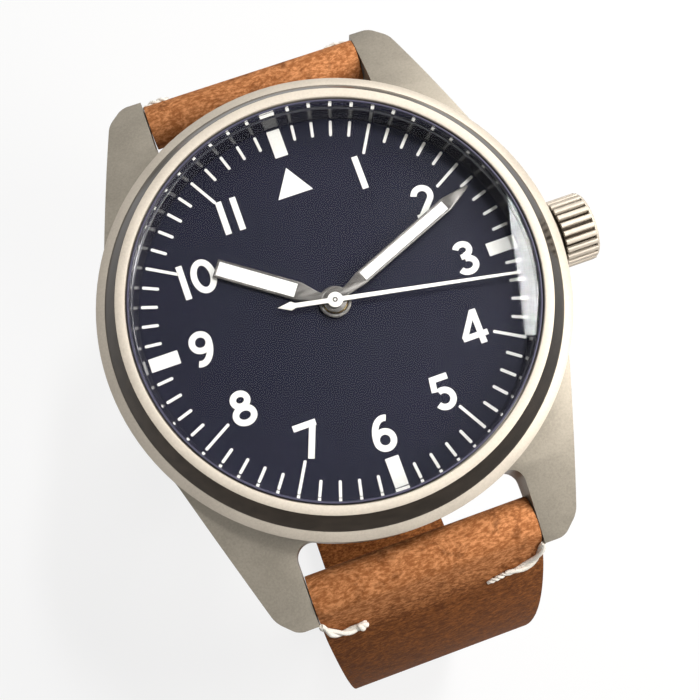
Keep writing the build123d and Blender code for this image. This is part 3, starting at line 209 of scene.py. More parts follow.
def brushed_group():
    """Long fine lines along X of the vector: a tone and a height."""
    tree, given, sink = shader_group("brushed_lines", [("Scale", 2000.0), ("Stretch", 0.04)], ["Tone", "Height"])
    stretch = add(tree, "ShaderNodeCombineXYZ", {"X": given["Stretch"], "Y": 1.0, "Z": 1.0}).outputs[0]
    stretched = vector_node(tree, "MULTIPLY", {0: given["Vector"], 1: stretch})
    lines = noise(tree, stretched, given["Scale"], 4.0, Roughness=0.6)
    give(tree, sink, {"Tone": lines, "Height": lines})
    return tree


def hide_group():
    """Pulled-up leather: where its fibres are rubbed pale, where its folds are dark, its grain and its height."""
    tree, given, sink = shader_group("pulled_hide", [("Scale", 1.0)], ["Rubbed", "Dark", "Grain", "Height"])
    vector, scale = given["Vector"], given["Scale"]
    drift = add(tree, "ShaderNodeTexNoise", {"Vector": vector, "Scale": times(tree, scale, 240.0), "Detail": 2.0})
    bent = vector_node(tree, "MULTIPLY_ADD", {0: drift.outputs["Color"], 1: (0.0016, 0.0016, 0.0016), 2: vector})
    lengthened = vector_node(tree, "MULTIPLY", {0: bent, 1: (0.5, 1.0, 1.0)})
    fibres = noise(tree, lengthened, times(tree, scale, 4200.0), 6.0, Roughness=0.68)
    broad = noise(tree, vector, times(tree, scale, 1100.0), 5.0, Roughness=0.62, Distortion=0.4)
    fold = noise(tree, bent, times(tree, scale, 620.0), 4.0, Roughness=0.6)
    pores = add(tree, "ShaderNodeTexVoronoi", {
        "Vector": bent, "Scale": times(tree, scale, 2300.0), "Randomness": 1.0}).outputs["Distance"]
    mottled = plus(tree, times(tree, fibres, 0.72), times(tree, broad, 0.28))
    give(tree, sink, {
        "Rubbed": ramp(tree, mottled, 0.42, 0.62), "Dark": ramp(tree, fold, 0.48, 0.30), "Grain": fibres,
        "Height": plus(tree, times(tree, pores, 0.45), times(tree, fibres, 0.9))})
    return tree


fine_grain = grain_group()
brushed_lines = brushed_group()
pulled_hide = hide_group()


# ------------------------------------------------------------------ materials
def new_material(name, colour, roughness, metallic=0.0, constants=None):
    """A material with its tree and its shader, whose sockets hold these constants."""
    made = bpy.data.materials.new(name)
    made.use_nodes = True
    shader = made.node_tree.nodes["Principled BSDF"]
    shader.inputs["Base Color"].default_value = (*colour, 1)
    shader.inputs["Roughness"].default_value = roughness
    shader.inputs["Metallic"].default_value = metallic
    for label, value in (constants or {}).items():
        shader.inputs[label].default_value = value
    made.diffuse_color = (*colour, 1)
    return made, made.node_tree, shader


def use_group(tree, which, vector, **values):
    return add(tree, "ShaderNodeGroup", {"Vector": vector, **values}, node_tree=which).outputs


def object_vector(tree):
    return add(tree, "ShaderNodeTexCoord").outputs["Object"]


def bump(tree, shader, height, strength, distance):
    made = add(tree, "ShaderNodeBump", {"Strength": strength, "Distance": distance, "Height": height})
    tree.links.new(made.outputs[0], shader.inputs["Normal"])


def textured(name, which, colour, pale, roughness, metallic,
             swing=0.08, strength=0.2, distance=1e-5, constants=None, **values):
    """A material whose colour and roughness vary with one group's tone, with its height as a bump."""
    made, tree, shader = new_material(name, colour, roughness, metallic, constants)
    group = use_group(tree, which, object_vector(tree), **values)
    low, high = 0.3, 0.7    # the tones between which nearly all of a noise lies
    tone = ramp(tree, group["Tone"], low, high)
    tree.links.new(mix_colour(tree, tone, (*colour, 1), (*pale, 1)), shader.inputs["Base Color"])
    rough = ramp(tree, group["Tone"], low, high, roughness - swing, roughness + swing)
    tree.links.new(rough, shader.inputs["Roughness"])
    bump(tree, shader, group["Height"], strength, distance)
    return made


titanium = textured(
    "blasted_titanium", fine_grain, (0.225, 0.200, 0.160), (0.300, 0.268, 0.217), 0.42, 0.50,
    strength=0.35, distance=1.5e-5, Scale=5200.0, Cloud=250.0)
satin_titanium = textured(
    "satin_titanium", fine_grain, (0.43, 0.38, 0.315), (0.53, 0.472, 0.395), 0.52, 0.35,
    distance=8e-6, Scale=5200.0, Cloud=250.0)
# metal whose near-black base colour is painted shade: it stands in for the dark reflection on the bezel's outer wall
# and for the shade in the crown's hollows
polished_wall = textured(
    "polished_wall", brushed_lines, (0.026, 0.019, 0.013), (0.042, 0.031, 0.022), 0.18, 0.9,
    swing=0.04, strength=0.08, distance=4e-6, Scale=900.0, Stretch=0.5)
dial_satin = textured(
    "dial_satin", fine_grain, (0.006, 0.007, 0.016), (0.010, 0.010, 0.022), 0.52, 0.0,
    strength=0.05, distance=3e-6, constants={"Specular IOR Level": 0.06}, Scale=4200.0, Cloud=120.0)
rehaut_gloss = textured(
    "dark_gloss", fine_grain, (0.014, 0.014, 0.022), (0.022, 0.022, 0.034), 0.14, 0.0,
    swing=0.03, strength=0.05, distance=3e-6, Scale=1500.0, Cloud=80.0)
marking_white = textured(
    "dial_white", fine_grain, (0.80, 0.79, 0.74), (0.90, 0.90, 0.86), 0.55, 0.0,
    strength=0.3, distance=6e-6, Scale=7000.0, Cloud=500.0)
lume_white = textured(
    "lume_white", fine_grain, (0.84, 0.84, 0.80), (0.95, 0.95, 0.92), 0.60, 0.0,
    strength=0.4, Scale=6000.0, Cloud=700.0)
hand_steel = textured(
    "hand_steel", brushed_lines, (0.070, 0.066, 0.061), (0.105, 0.099, 0.092), 0.36, 0.8,
    strength=0.1, distance=3e-6, Scale=3000.0, Stretch=0.2)
seconds_paint = textured(
    "seconds_paint", fine_grain, (0.82, 0.79, 0.72), (0.92, 0.90, 0.85), 0.42, 0.0,
    strength=0.1, distance=3e-6, Scale=5000.0, Cloud=400.0)
rubber_black = textured(
    "seal_rubber", fine_grain, (0.030, 0.028, 0.055), (0.05, 0.047, 0.09), 0.5, 0.0,
    distance=5e-6, Scale=4000.0, Cloud=200.0)
holder_plastic = textured(
    "holder_plastic", fine_grain, (0.50, 0.50, 0.47), (0.6, 0.6, 0.57), 0.5, 0.0,
    distance=5e-6, Scale=3000.0, Cloud=200.0)
plated_brass = textured(
    "plated_brass", brushed_lines, (0.50, 0.46, 0.38), (0.68, 0.64, 0.55), 0.30, 1.0,
    distance=6e-6, Scale=2200.0, Stretch=0.03)
wheel_brass = textured(
    "wheel_brass", brushed_lines, (0.62, 0.42, 0.13), (0.78, 0.56, 0.22), 0.22, 1.0,
    strength=0.15, distance=4e-6, Scale=2600.0, Stretch=0.1)
fine_steel = textured(
    "fine_steel", brushed_lines, (0.40, 0.39, 0.375), (0.48, 0.47, 0.455), 0.30, 1.0,
    swing=0.04, strength=0.06, distance=2e-6, Scale=3600.0, Stretch=0.05)
thread_white = textured(
    "stitch_thread", fine_grain, (0.72, 0.68, 0.60), (0.86, 0.83, 0.77), 0.85, 0.0,
    strength=0.6, distance=2e-5, Scale=9000.0, Cloud=900.0)


def leather_material():
    """Leather with painted shade low on the strap and painted light higher up towards the lugs."""
    constants = {"Specular IOR Level": 0.05}
    made, tree, shader = new_material("pulled_leather", (0.30, 0.115, 0.04), 0.75, constants=constants)
    place = object_vector(tree)
    hide = use_group(tree, pulled_hide, place, Scale=1.0)
    height = add(tree, "ShaderNodeSeparateXYZ", {0: place}).outputs["Z"]
    level = plus(tree, height, times(tree, hide["Grain"], 0.003))
    # painted light and shade: the lower the leather lies the darker it is, and the higher it lies the paler
    painted_light_by_height = ramp(tree, level, 0.0005, 0.0045)
    base = mix_colour(tree, painted_light_by_height, (0.115, 0.036, 0.009, 1), (0.290, 0.102, 0.033, 1))
    pale = mix_colour(tree, painted_light_by_height, (0.300, 0.108, 0.033, 1), (0.600, 0.260, 0.108, 1))
    rubbed = mix_colour(tree, hide["Rubbed"], base, pale)
    folded = mix_colour(tree, times(tree, hide["Dark"], 0.6), rubbed, (0.085, 0.024, 0.006, 1))
    tree.links.new(folded, shader.inputs["Base Color"])
    tree.links.new(ramp(tree, hide["Rubbed"], 0.0, 1.0, 0.66, 0.82), shader.inputs["Roughness"])
    bump(tree, shader, hide["Height"], 0.6, 6e-5)
    return made


def crystal_material():
    """Coated crystal: what lies below shows straight through, with a thin even reflection over it."""
    constants = {"Transmission Weight": 1.0, "IOR": 1.15}
    made, tree, shader = new_material("clear_crystal", (1, 1, 1), 0.0, constants=constants)
    path = add(tree, "ShaderNodeLightPath").outputs
    passing = math_node(tree, "MAXIMUM", path["Is Shadow Ray"], path["Is Diffuse Ray"])
    mixed_surface(tree, passing, shader, add(tree, "ShaderNodeBsdfTransparent"), "Material Output")
    return made


leather = leather_material()
crystal_glass = crystal_material()


# ------------------------------------------------------------------ meshes
def keep(name, mesh, materials, body, replaces=()):
    """A piece of the visual model, on a body; with several materials its faces keep their indices."""
    made = placed(name, mesh)
    mesh.name = name
    wanted = materials if isinstance(materials, list) else [materials]
    marks = [face.material_index for face in mesh.polygons]
    mesh.materials.clear()
    for one in wanted:
        mesh.materials.append(one)
    if len(wanted) > 1:
        mesh.polygons.foreach_set("material_index", marks)
    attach(made, body)
    if replaces:
        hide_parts(*replaces)


def finished(shell, mesh):
    """Writes the shell to the mesh and frees it."""
    shell.to_mesh(mesh)
    shell.free()
    return mesh


def smooth(mesh, angle=30):
    """Smooth shading with edges kept sharp past an angle."""
    shell = bmesh.new()
    shell.from_mesh(mesh)
    limit = math.radians(angle)
    for edge in shell.edges:
        edge.smooth = len(edge.link_faces) != 2 or edge.calc_face_angle(0) < limit
    for face in shell.faces:
        face.smooth = True
    return finished(shell, mesh)


def lathe(name, profile, segments, paint=None):
    """A closed profile of (radius, height) in mm turned about Z; paint gives each profile side a material index."""
    shell = bmesh.new()
    angles = [TURN * k / segments for k in range(segments)]
    rings = []
    for radius, height in profile:
        if radius < ON_AXIS:
            rings.append([shell.verts.new((0, 0, height * MM))] * segments)
            continue
        rings.append([
            shell.verts.new((radius * MM * math.cos(angle), radius * MM * math.sin(angle), height * MM))
            for angle in angles
        ])
    for i, low in enumerate(rings):
        high = rings[(i + 1) % len(rings)]
        for k in range(segments):
            after = (k + 1) % segments
            corners = list(dict.fromkeys([low[k], low[after], high[after], high[k]]))
            if len(corners) < 3:
                continue
            face = shell.faces.new(corners)
            if paint:
                face.material_index = paint[i]
    bmesh.ops.recalc_face_normals(shell, faces=shell.faces[:])
    return smooth(finished(shell, bpy.data.meshes.new(name)))


def plate(name, shapes, low, high):
    """Overlapping flat shapes in mm, made one outline and given a thickness from low to high."""
    points, faces = [], []
    for shape in shapes:
        faces.append(list(range(len(points), len(points) + len(shape))))
        points.extend(Vector(p) for p in shape)
    verts, _, flats, _, _, sources = delaunay_2d_cdt(points, [], faces, 0, OUTLINE_STEP)
    shell = bmesh.new()
    made = [shell.verts.new((v.x * MM, v.y * MM, high * MM)) for v in verts]
    for flat, source in zip(flats, sources):
        if source:
            shell.faces.new([made[i] for i in flat])
    for vert in [v for v in shell.verts if not v.link_faces]:
        shell.verts.remove(vert)
    bmesh.ops.recalc_face_normals(shell, faces=shell.faces[:])
    if shell.faces[:][0].normal.z < 0:
        bmesh.ops.reverse_faces(shell, faces=shell.faces[:])
    bmesh.ops.dissolve_limit(shell, angle_limit=math.radians(PLATE_FLAT), verts=shell.verts[:], edges=shell.edges[:])
    extruded = bmesh.ops.extrude_face_region(shell, geom=shell.faces[:], use_keep_orig=True)["geom"]
    moved = [g for g in extruded if isinstance(g, bmesh.types.BMVert)]
    bmesh.ops.translate(shell, verts=moved, vec=(0, 0, (low - high) * MM))
    bmesh.ops.reverse_faces(shell, faces=[g for g in extruded if isinstance(g, bmesh.types.BMFace)])
    bmesh.ops.recalc_face_normals(shell, faces=shell.faces[:])
    return smooth(finished(shell, bpy.data.meshes.new(name)), 25)


def lug_corner(edge):
    """Whether an edge is one of the upright outer corners of the lugs."""
    first, second = (vert.co for vert in edge.verts)
    outer = all(abs(co.y) > LUG_END * MM and abs(co.x) > LUG_SIDE * MM for co in (first, second))
    return outer and abs(first.z - second.z) > UPRIGHT_SHARE * edge.calc_length()


def copied(node, bevel, segments, tips=0.0):
    """A node's mesh, merged, with its sharp edges rounded; tips rounds the outer corners of the lugs first."""
    mesh = nodes[node].data.copy()
    shell = bmesh.new()
    shell.from_mesh(mesh)
    bmesh.ops.remove_doubles(shell, verts=shell.verts[:], dist=MERGED)
    bmesh.ops.dissolve_limit(
        shell, angle_limit=math.radians(FLAT_ANGLE), verts=shell.verts[:], edges=shell.edges[:])
    if tips:
        corners = [edge for edge in shell.edges if lug_corner(edge)]
        bmesh.ops.bevel(
            shell, geom=corners, offset=tips * MM, segments=4, profile=0.5, affect="EDGES", clamp_overlap=True)
    holder = placed("holder", finished(shell, mesh))
    rounding = holder.modifiers.new("rounding", "BEVEL")
    rounding.width = bevel * MM
    rounding.segments = segments
    rounding.limit_method = "ANGLE"
    rounding.angle_limit = math.radians(SHARP_ANGLE)
    result = bpy.data.meshes.new_from_object(holder.evaluated_get(bpy.context.evaluated_depsgraph_get()))
    bpy.data.objects.remove(holder)
    return smooth(result, 28)


# ------------------------------------------------------------------ geometry nodes
def growth_tree(name, inputs):
    """A geometry tree for a modifier, with named inputs beside its Geometry."""
    tree = bpy.data.node_groups.new(name, "GeometryNodeTree")
    tree.is_modifier = True
    add_inputs(tree, [("Geometry", "NodeSocketGeometry", None), *inputs])
    tree.interface.new_socket("Geometry", in_out="OUTPUT", socket_type="NodeSocketGeometry")
    return tree, tree.nodes.new("NodeGroupInput").outputs, tree.nodes.new("NodeGroupOutput")


def painted_result(tree, geometry, given, sink):
    """Makes instances real, gives them the Material input and hands them to the tree's output."""
    real = add(tree, "GeometryNodeRealizeInstances", {0: geometry}).outputs[0]
    painted = add(tree, "GeometryNodeSetMaterial", {"Geometry": real, "Material": given["Material"]})
    tree.links.new(painted.outputs[0], sink.inputs[0])


def grown(name, tree, **values):
    """The mesh that a geometry tree grows with these inputs."""
    holder = placed("holder", bpy.data.meshes.new("holder"))
    growth = holder.modifiers.new("growth", "NODES")
    growth.node_group = tree
    for item in tree.interface.items_tree:
        label = item.name.replace(" ", "_")
        if item.item_type == "SOCKET" and item.in_out == "INPUT" and label in values:
            growth[item.identifier] = values[label]
    holder.update_tag()
    bpy.context.view_layer.update()
    result = bpy.data.meshes.new_from_object(holder.evaluated_get(bpy.context.evaluated_depsgraph_get()))
    holder.modifiers.remove(growth)
    bpy.data.objects.remove(holder)
    result.name = name
    return result


def joined(name, meshes):
    """Several meshes as one."""
    shell = bmesh.new()
    for mesh in meshes:
        shell.from_mesh(mesh)
    return finished(shell, bpy.data.meshes.new(name))


def tick_ring_tree():
    """Rounded marks laid out round a dial; one whose number plus First divides by Skip is left out."""
    tree, given, sink = growth_tree("tick_ring", [
        ("Count", "NodeSocketInt", 60), ("First", "NodeSocketInt", 0), ("Skip", "NodeSocketInt", 5),
        ("Outer Radius", "NodeSocketFloat", 0.0162), ("Length", "NodeSocketFloat", 0.0014),
        ("Width", "NodeSocketFloat", 0.0003), ("Corner", "NodeSocketFloat", 0.0001),
        ("Level", "NodeSocketFloat", 0.0074), ("Thickness", "NodeSocketFloat", 0.00006),
        ("Material", "NodeSocketMaterial", None),
    ])
    index = add(tree, "GeometryNodeInputIndex").outputs[0]
    angle = times(tree, math_node(tree, "DIVIDE", index, given["Count"]), TURN)
    middle = minus(tree, given["Outer Radius"], times(tree, given["Length"], 0.5))
    place = add(tree, "ShaderNodeCombineXYZ", {
        "X": times(tree, middle, math_node(tree, "COSINE", angle)),
        "Y": times(tree, middle, math_node(tree, "SINE", angle)),
        "Z": given["Level"]}).outputs[0]
    points = add(tree, "GeometryNodePoints", {"Count": given["Count"], "Position": place}).outputs[0]
    outline = add(tree, "GeometryNodeCurvePrimitiveQuadrilateral", {
        "Width": given["Length"], "Height": given["Width"]}).outputs[0]
    rounded = add(tree, "GeometryNodeFilletCurve", {
        "Curve": outline, "Radius": given["Corner"], "Count": 4}, mode="POLY").outputs[0]
    flat = add(tree, "GeometryNodeFillCurve", {"Curve": rounded}, mode="NGONS").outputs[0]
    raised = add(tree, "GeometryNodeExtrudeMesh", {
        "Mesh": flat, "Offset Scale": given["Thickness"], "Individual": False}).outputs[0]
    under = add(tree, "GeometryNodeFlipFaces", {"Mesh": flat}).outputs[0]
    both = add(tree, "GeometryNodeJoinGeometry")
    tree.links.new(raised, both.inputs[0])
    tree.links.new(under, both.inputs[0])
    closed = add(tree, "GeometryNodeMergeByDistance", {"Geometry": both.outputs[0], "Distance": 1e-7}).outputs[0]
    number = plus(tree, index, given["First"])
    shown = add(tree, "FunctionNodeCompare", {0: math_node(tree, "MODULO", number, given["Skip"]), 1: 0.5},
                data_type="FLOAT", operation="GREATER_THAN").outputs[0]
    turned = add(tree, "ShaderNodeCombineXYZ", {"Z": angle}).outputs[0]
    laid = add(tree, "GeometryNodeInstanceOnPoints", {
        "Points": points, "Selection": shown, "Instance": closed, "Rotation": turned}).outputs[0]
    painted_result(tree, laid, given, sink)
    return tree


def thread_tree():
    """A two-ply thread twisted along a bent line, with its fibres lifted by a fixed noise."""
    tree, given, sink = growth_tree("thread_run", [
        ("Start", "NodeSocketVector", None), ("Middle", "NodeSocketVector", None), ("End", "NodeSocketVector", None),
        ("Ply Radius", "NodeSocketFloat", 0.00017), ("Turns", "NodeSocketFloat", 3.0),
        ("Fuzz", "NodeSocketFloat", 0.00006), ("Seed", "NodeSocketFloat", 1.0),
        ("Material", "NodeSocketMaterial", None),
    ])
    line = add(tree, "GeometryNodeCurveQuadraticBezier", {
        "Resolution": 40, "Start": given["Start"], "Middle": given["Middle"], "End": given["End"]}).outputs[0]
    along = add(tree, "GeometryNodeSplineParameter").outputs["Factor"]
    normal = add(tree, "GeometryNodeInputNormal").outputs[0]
    tangent = add(tree, "GeometryNodeInputTangent").outputs[0]
    across = vector_node(tree, "CROSS_PRODUCT", {0: tangent, 1: normal})
    ring = add(tree, "GeometryNodeCurvePrimitiveCircle", {
        "Resolution": 10, "Radius": given["Ply Radius"]}).outputs[0]
    # the two plies close up towards both ends
    from_middle = math_node(tree, "ABSOLUTE", minus(tree, times(tree, along, 2.0), 1.0))
    taper = minus(tree, 1.0, math_node(tree, "POWER", from_middle, 6.0))
    both = add(tree, "GeometryNodeJoinGeometry")
    for phase in (0.0, math.pi):
        twist = plus(tree, times(tree, times(tree, along, given["Turns"]), TURN), phase)
        reach = times(tree, given["Ply Radius"], times(tree, taper, 0.85))
        first, second = (
            vector_node(tree, "SCALE", {0: side, "Scale": times(tree, reach, math_node(tree, wave, twist))})
            for side, wave in ((normal, "COSINE"), (across, "SINE")))
        offset = vector_node(tree, "ADD", {0: first, 1: second})
        ply = add(tree, "GeometryNodeSetPosition", {"Geometry": line, "Offset": offset}).outputs[0]
        tube = add(tree, "GeometryNodeCurveToMesh", {"Curve": ply, "Profile Curve": ring, "Fill Caps": True})
        tree.links.new(tube.outputs[0], both.inputs[0])
    fuzz = add(tree, "ShaderNodeTexNoise", {
        "Scale": 5200.0, "Detail": 2.0, "W": given["Seed"]}, noise_dimensions="4D").outputs["Fac"]
    lift = vector_node(tree, "SCALE", {0: normal, "Scale": times(tree, minus(tree, fuzz, 0.5), given["Fuzz"])})
    rough = add(tree, "GeometryNodeSetPosition", {"Geometry": both.outputs[0], "Offset": lift}).outputs[0]
    painted_result(tree, rough, given, sink)
    return tree


tick_ring = tick_ring_tree()
thread_run = thread_tree()


# ------------------------------------------------------------------ case
case_mesh = copied("mid_case", 0.26, 3, tips=0.8)
for face in case_mesh.polygons:
    out = math.hypot(face.center.x, face.center.y)
    on_ring = SHOULDER_INNER * MM < out < SHOULDER_OUTER * MM
    face.material_index = int(on_ring and face.center.z > SHOULDER_LEVEL * MM and face.normal.z > FACING_UP)
keep("case_body", case_mesh, [titanium, satin_titanium], "case", ["mid_case"])

bezel_profile = [
    (16.90, 8.97), (16.90, 10.80), (16.96, 10.88), (17.04, 10.90), (17.60, 10.90), (17.70, 10.88), (17.77, 10.80),
    (18.78, 9.12), (18.86, 9.02), (18.88, 8.97),
]
# the bezel's outer slope gets the near-black metal, a painted dark reflection
bezel_paint = [0, 0, 0, 0, 0, 1, 1, 1, 1, 0]
keep("bezel_ring", lathe("bezel_ring", bezel_profile, 256, bezel_paint), [satin_titanium, polished_wall],
     "case", ["bezel"])

for piece, node, slot, finish, segments, profile in (
    ("inner_slope", "rehaut", "rehaut", rehaut_gloss, 256,
     [(16.77, 7.42), (16.77, 9.23), (16.50, 9.23), (16.46, 9.2), (16.30, 7.46), (16.32, 7.42)]),
    ("crystal_seal", "crystal_gasket", "gasket", rubber_black, 192,
     [(16.61, 9.27), (16.61, 10.72), (16.66, 10.77), (16.73, 10.77), (16.78, 10.72), (16.78, 9.27)]),
    ("dial_plate", "dial", "dial", dial_satin, 256,
     [(1.2, 7.02), (16.74, 7.02), (16.74, 7.38), (16.72, 7.4), (1.24, 7.4), (1.2, 7.36)]),
):
    keep(piece, lathe(piece, profile, segments), finish, "case", [node])


# ------------------------------------------------------------------ crown
crown_line = Matrix.Translation((CROWN_FOOT * MM, 0, CROWN_HEIGHT * MM)) @ Matrix.Rotation(math.pi / 2, 4, "Y")
crown_profile = [
    (0.72, 2.20), (1.60, 2.20), (1.60, 0.02), (2.36, 0.02), (2.66, 0.10), (2.68, 0.30), (2.68, 2.80), (2.93, 2.86),
    (2.93, 2.98), (2.84, 3.10), (2.52, 3.15), (2.30, 3.19), (1.50, 3.32), (0.70, 3.40), (0.0, 3.44), (0.0, 2.60),
    (0.72, 2.60),
]
# painted shade: the crown's foot by the case and the wall behind the ribs get the near-black metal
crown_core = lathe("crown_core", crown_profile, 96, [0, 0, 0, 1, 1, 1] + [0] * 11)
crown_core.transform(crown_line)
keep("crown_core", crown_core, [satin_titanium, polished_wall], "crown_and_stem", ["crown"])
crown_ribs = grown(
    "crown_ribs", tick_ring, Count=24, First=1, Skip=NO_SKIP, Outer_Radius=3.04 * MM, Length=0.50 * MM,
    Width=0.46 * MM, Corner=0.15 * MM, Level=0.14 * MM, Thickness=2.76 * MM, Material=satin_titanium)
crown_ribs.transform(crown_line)
smooth(crown_ribs, 50)
keep("crown_ribs", crown_ribs, satin_titanium, "crown_and_stem")


# ------------------------------------------------------------------ numerals
def arc_points(centre, rx, ry, start, end, steps):
    return [
        (centre[0] + rx * math.cos(math.radians(start + (end - start) * k / steps)),
         centre[1] + ry * math.sin(math.radians(start + (end - start) * k / steps)))
        for k in range(steps + 1)
    ]


def stroke(path, width=PEN, closed=False):
    """Four-sided pieces of a pen line along a path, with mitred corners."""
    count = len(path)
    sides = []
    for i, (px, py) in enumerate(path):
        before = path[i - 1] if (closed or i) else None
        after = path[(i + 1) % count] if (closed or i < count - 1) else None
        normals = []
        for a, b in ((before, (px, py)), ((px, py), after)):
            if a is None or b is None:
                continue
            dx, dy = b[0] - a[0], b[1] - a[1]
            size = math.hypot(dx, dy) or 1.0
            normals.append((-dy / size, dx / size))
        nx = sum(n[0] for n in normals)
        ny = sum(n[1] for n in normals)
        size = math.hypot(nx, ny) or 1.0
        nx, ny = nx / size, ny / size
        reach = width / 2 / max(MITRE_LIMIT, nx * normals[0][0] + ny * normals[0][1])
        sides.append(((px + nx * reach, py + ny * reach), (px - nx * reach, py - ny * reach)))
    pieces = []
    for i in range(count if closed else count - 1):
        a, b = sides[i], sides[(i + 1) % count]
        pieces.append([a[0], a[1], b[1], b[0]])
    return pieces


def oval(centre, rx, ry, steps):
    """A closed pen line round an ellipse."""
    return stroke(arc_points(centre, rx, ry, 0, 360, steps)[:-1], closed=True)


def digit(which):
    """Pen lines of one figure, centred on its own middle, and its width, in mm."""
    h = NUMERAL_HEIGHT / 2
    half = PEN / 2
    w = 0.98    # half the width of most figures
    if which == "0":
        return oval((0, 0), 1.06 - half, h - half, 40), 2.12
    if which == "1":
        return stroke([(0, -h), (0, h)]), PEN
    if which == "2":
        bowl = arc_points((0, h - w), w - half, w - half, 165, -38, 20)
        foot = [(-w, -h + half), (w, -h + half)]
        return stroke(bowl + [(-w + half * 1.25, -h + half * 0.9)]) + stroke(foot), 2 * w
    if which == "3":
        upper, lower = 0.78, 0.86
        top = arc_points((-0.03, h - upper), 0.86 - half, upper - half, 158, -92, 22)
        low = arc_points((-0.03, -h + lower), w - half, lower - half, 92, -158, 22)
        waist = h - 2 * upper + half - 0.05
        return stroke(top) + stroke(low) + stroke([(-0.34, waist), (0.12, waist)], PEN * 0.86), 1.9
    if which == "4":
        post, bar = 0.46, -h + 0.80
        upright, level = [(post, -h), (post, h)], [(-1.12, bar), (1.06, bar)]
        slope = [(-1.00, bar - 0.02), (post - 0.05, h - 0.12)]
        return stroke(upright) + stroke(level, PEN * 0.92) + stroke(slope, PEN * 0.9), 2.15
    if which == "5":
        bowl = arc_points((-0.04, -h + w), w - half, w - half, 116, -152, 26)
        back, top = [(-0.66, 0.20), (-0.52, h - half)], [(-0.74, h - half), (0.78, h - half)]
        return stroke(back, PEN * 0.95) + stroke(top) + stroke(bowl), 1.95
    if which == "7":
        top, leg = [(-w, h - half), (w, h - half)], [(w - half * 1.05, h - half), (-0.34, -h)]
        return stroke(top) + stroke(leg), 2 * w
    if which == "8":
        upper, lower = 0.80, 0.90
        return (oval((0, h - upper), 0.86 - half, upper - half, 32)
                + oval((0, -h + lower), 1.02 - half, lower - half, 32)), 2.04
    # 6, or 9 as a 6 turned by half a turn
    r = 0.97
    stem = arc_points((0.36, -h + r), r - half + 0.36, 2 * h - r - half, 180, 74, 20)
    parts = oval((0, -h + r), r - half, r - half, 36) + stroke(stem)
    if which == "9":
        parts = [[(-x, -y) for x, y in part] for part in parts]
    return parts, 2 * r


def numeral_shapes():
    """The figures 1 to 11 round the dial, all upright."""
    shapes = []
    for hour in range(1, 12):
        angle = math.radians(90 - 30 * hour)
        centre = (NUMERAL_RADIUS * math.cos(angle), NUMERAL_RADIUS * math.sin(angle))
        figures = [digit(figure) for figure in str(hour)]
        gap = 0.72 if hour == 11 else 0.42
        x = -(sum(wide for _, wide in figures) + gap * (len(figures) - 1)) / 2
        for parts, wide in figures:
            for part in parts:
                shapes.append([(centre[0] + x + wide / 2 + px, centre[1] + py) for px, py in part])
            x += wide + gap
    return shapes


keep("dial_numerals", plate("dial_numerals", numeral_shapes(), DIAL_TOP, PRINT_TOP), marking_white, "case")

marks = [
    grown(name, tick_ring, Count=count, First=first, Skip=skip, Outer_Radius=MARK_RADIUS * MM, Length=length * MM,
          Width=width * MM, Corner=corner * MM, Level=DIAL_TOP * MM, Thickness=PRINT_THICKNESS * MM,
          Material=marking_white)
    for name, count, first, skip, length, width, corner in (
        ("minute_ticks", 60, 0, 5, 1.4, 0.25, 0.10),
        ("hour_ticks", 12, 0, 3, 2.8, 0.25, 0.10),
        ("quarter_blocks", 4, 1, NO_SKIP, 2.5, 1.15, 0.06))
]
marks.append(plate("twelve_triangle", [[(-1.55, 10.05), (1.55, 10.05), (0.0, 12.55)]], DIAL_TOP, PRINT_TOP))
keep("dial_marks", smooth(joined("dial_marks", marks), 25), marking_white, "case", ["dial_markers"])


# ------------------------------------------------------------------ hands
for node, body in (("hour_hand", "hours"), ("minute_hand", "minutes")):
    keep(node + "_frame", copied(node, 0.05, 2), hand_steel, body, [node])
keep("seconds_pointer", copied("seconds_hand", 0.04, 2), seconds_paint, "seconds", ["seconds_hand"])
pin_profile = [(0.10, 8.60), (0.10, 8.655), (0.13, 8.67), (0.19, 8.67), (0.22, 8.655), (0.22, 8.60)]
keep("seconds_pin", lathe("seconds_pin", pin_profile, 32), hand_steel, "seconds")


# ------------------------------------------------------------------ strap
def leather_piece(name, node, bevel, segments, body):
    keep(name, copied(node, bevel, segments), leather, body, [node])


leather_piece("strap_long", "strap_lower", 0.45, 3, "lower_strap")
leather_piece("strap_short", "strap_upper", 0.45, 3, "upper_strap")

# stitches through three places in mm, then the ply's radius in mm, its turns and the seed of its fibres
for name, body, start, middle, end, ply, turns, seed in (
    ("stitch_low_left", "lower_strap",
     (-9.95, -24.55, 2.9), (-9.35, -26.15, 0.75), (-7.0, -25.72, 1.2), 0.20, 1.0, 1.0),
    ("stitch_low_left_end", "lower_strap",
     (-7.1, -25.70, 1.25), (-6.8, -25.95, 1.25), (-6.35, -25.66, 1.0), 0.22, 1.0, 2.0),
    ("stitch_low_right", "lower_strap",
     (9.95, -24.45, 3.0), (9.25, -26.15, 0.75), (6.4, -25.85, 0.85), 0.20, 1.0, 3.0),
    ("stitch_low_right_end", "lower_strap",
     (6.5, -25.85, 0.85), (5.5, -26.0, 0.60), (4.7, -26.1, 0.15), 0.12, 2.0, 4.0),
    ("stitch_top_left", "upper_strap",
     (-9.95, 23.85, 3.0), (-9.2, 24.25, 3.22), (-7.6, 24.02, 3.30), 0.15, 1.5, 5.0),
    ("stitch_top_right", "upper_strap",
     (9.95, 24.15, 2.2), (9.2, 24.55, 2.35), (7.6, 24.30, 2.45), 0.15, 1.5, 6.0),
):
    start, middle, end = ([c * MM for c in point] for point in (start, middle, end))
    mesh = grown(name, thread_run, Start=start, Middle=middle, End=end, Ply_Radius=ply * MM, Turns=turns,
                 Fuzz=FUZZ * MM, Seed=seed, Material=thread_white)
    keep(name, smooth(mesh, 60), thread_white, body)

leather_piece("keeper_sewn", "keeper_fixed", 0.2, 2, "upper_strap")
leather_piece("keeper_loose", "keeper_sliding", 0.2, 2, "free_keeper")


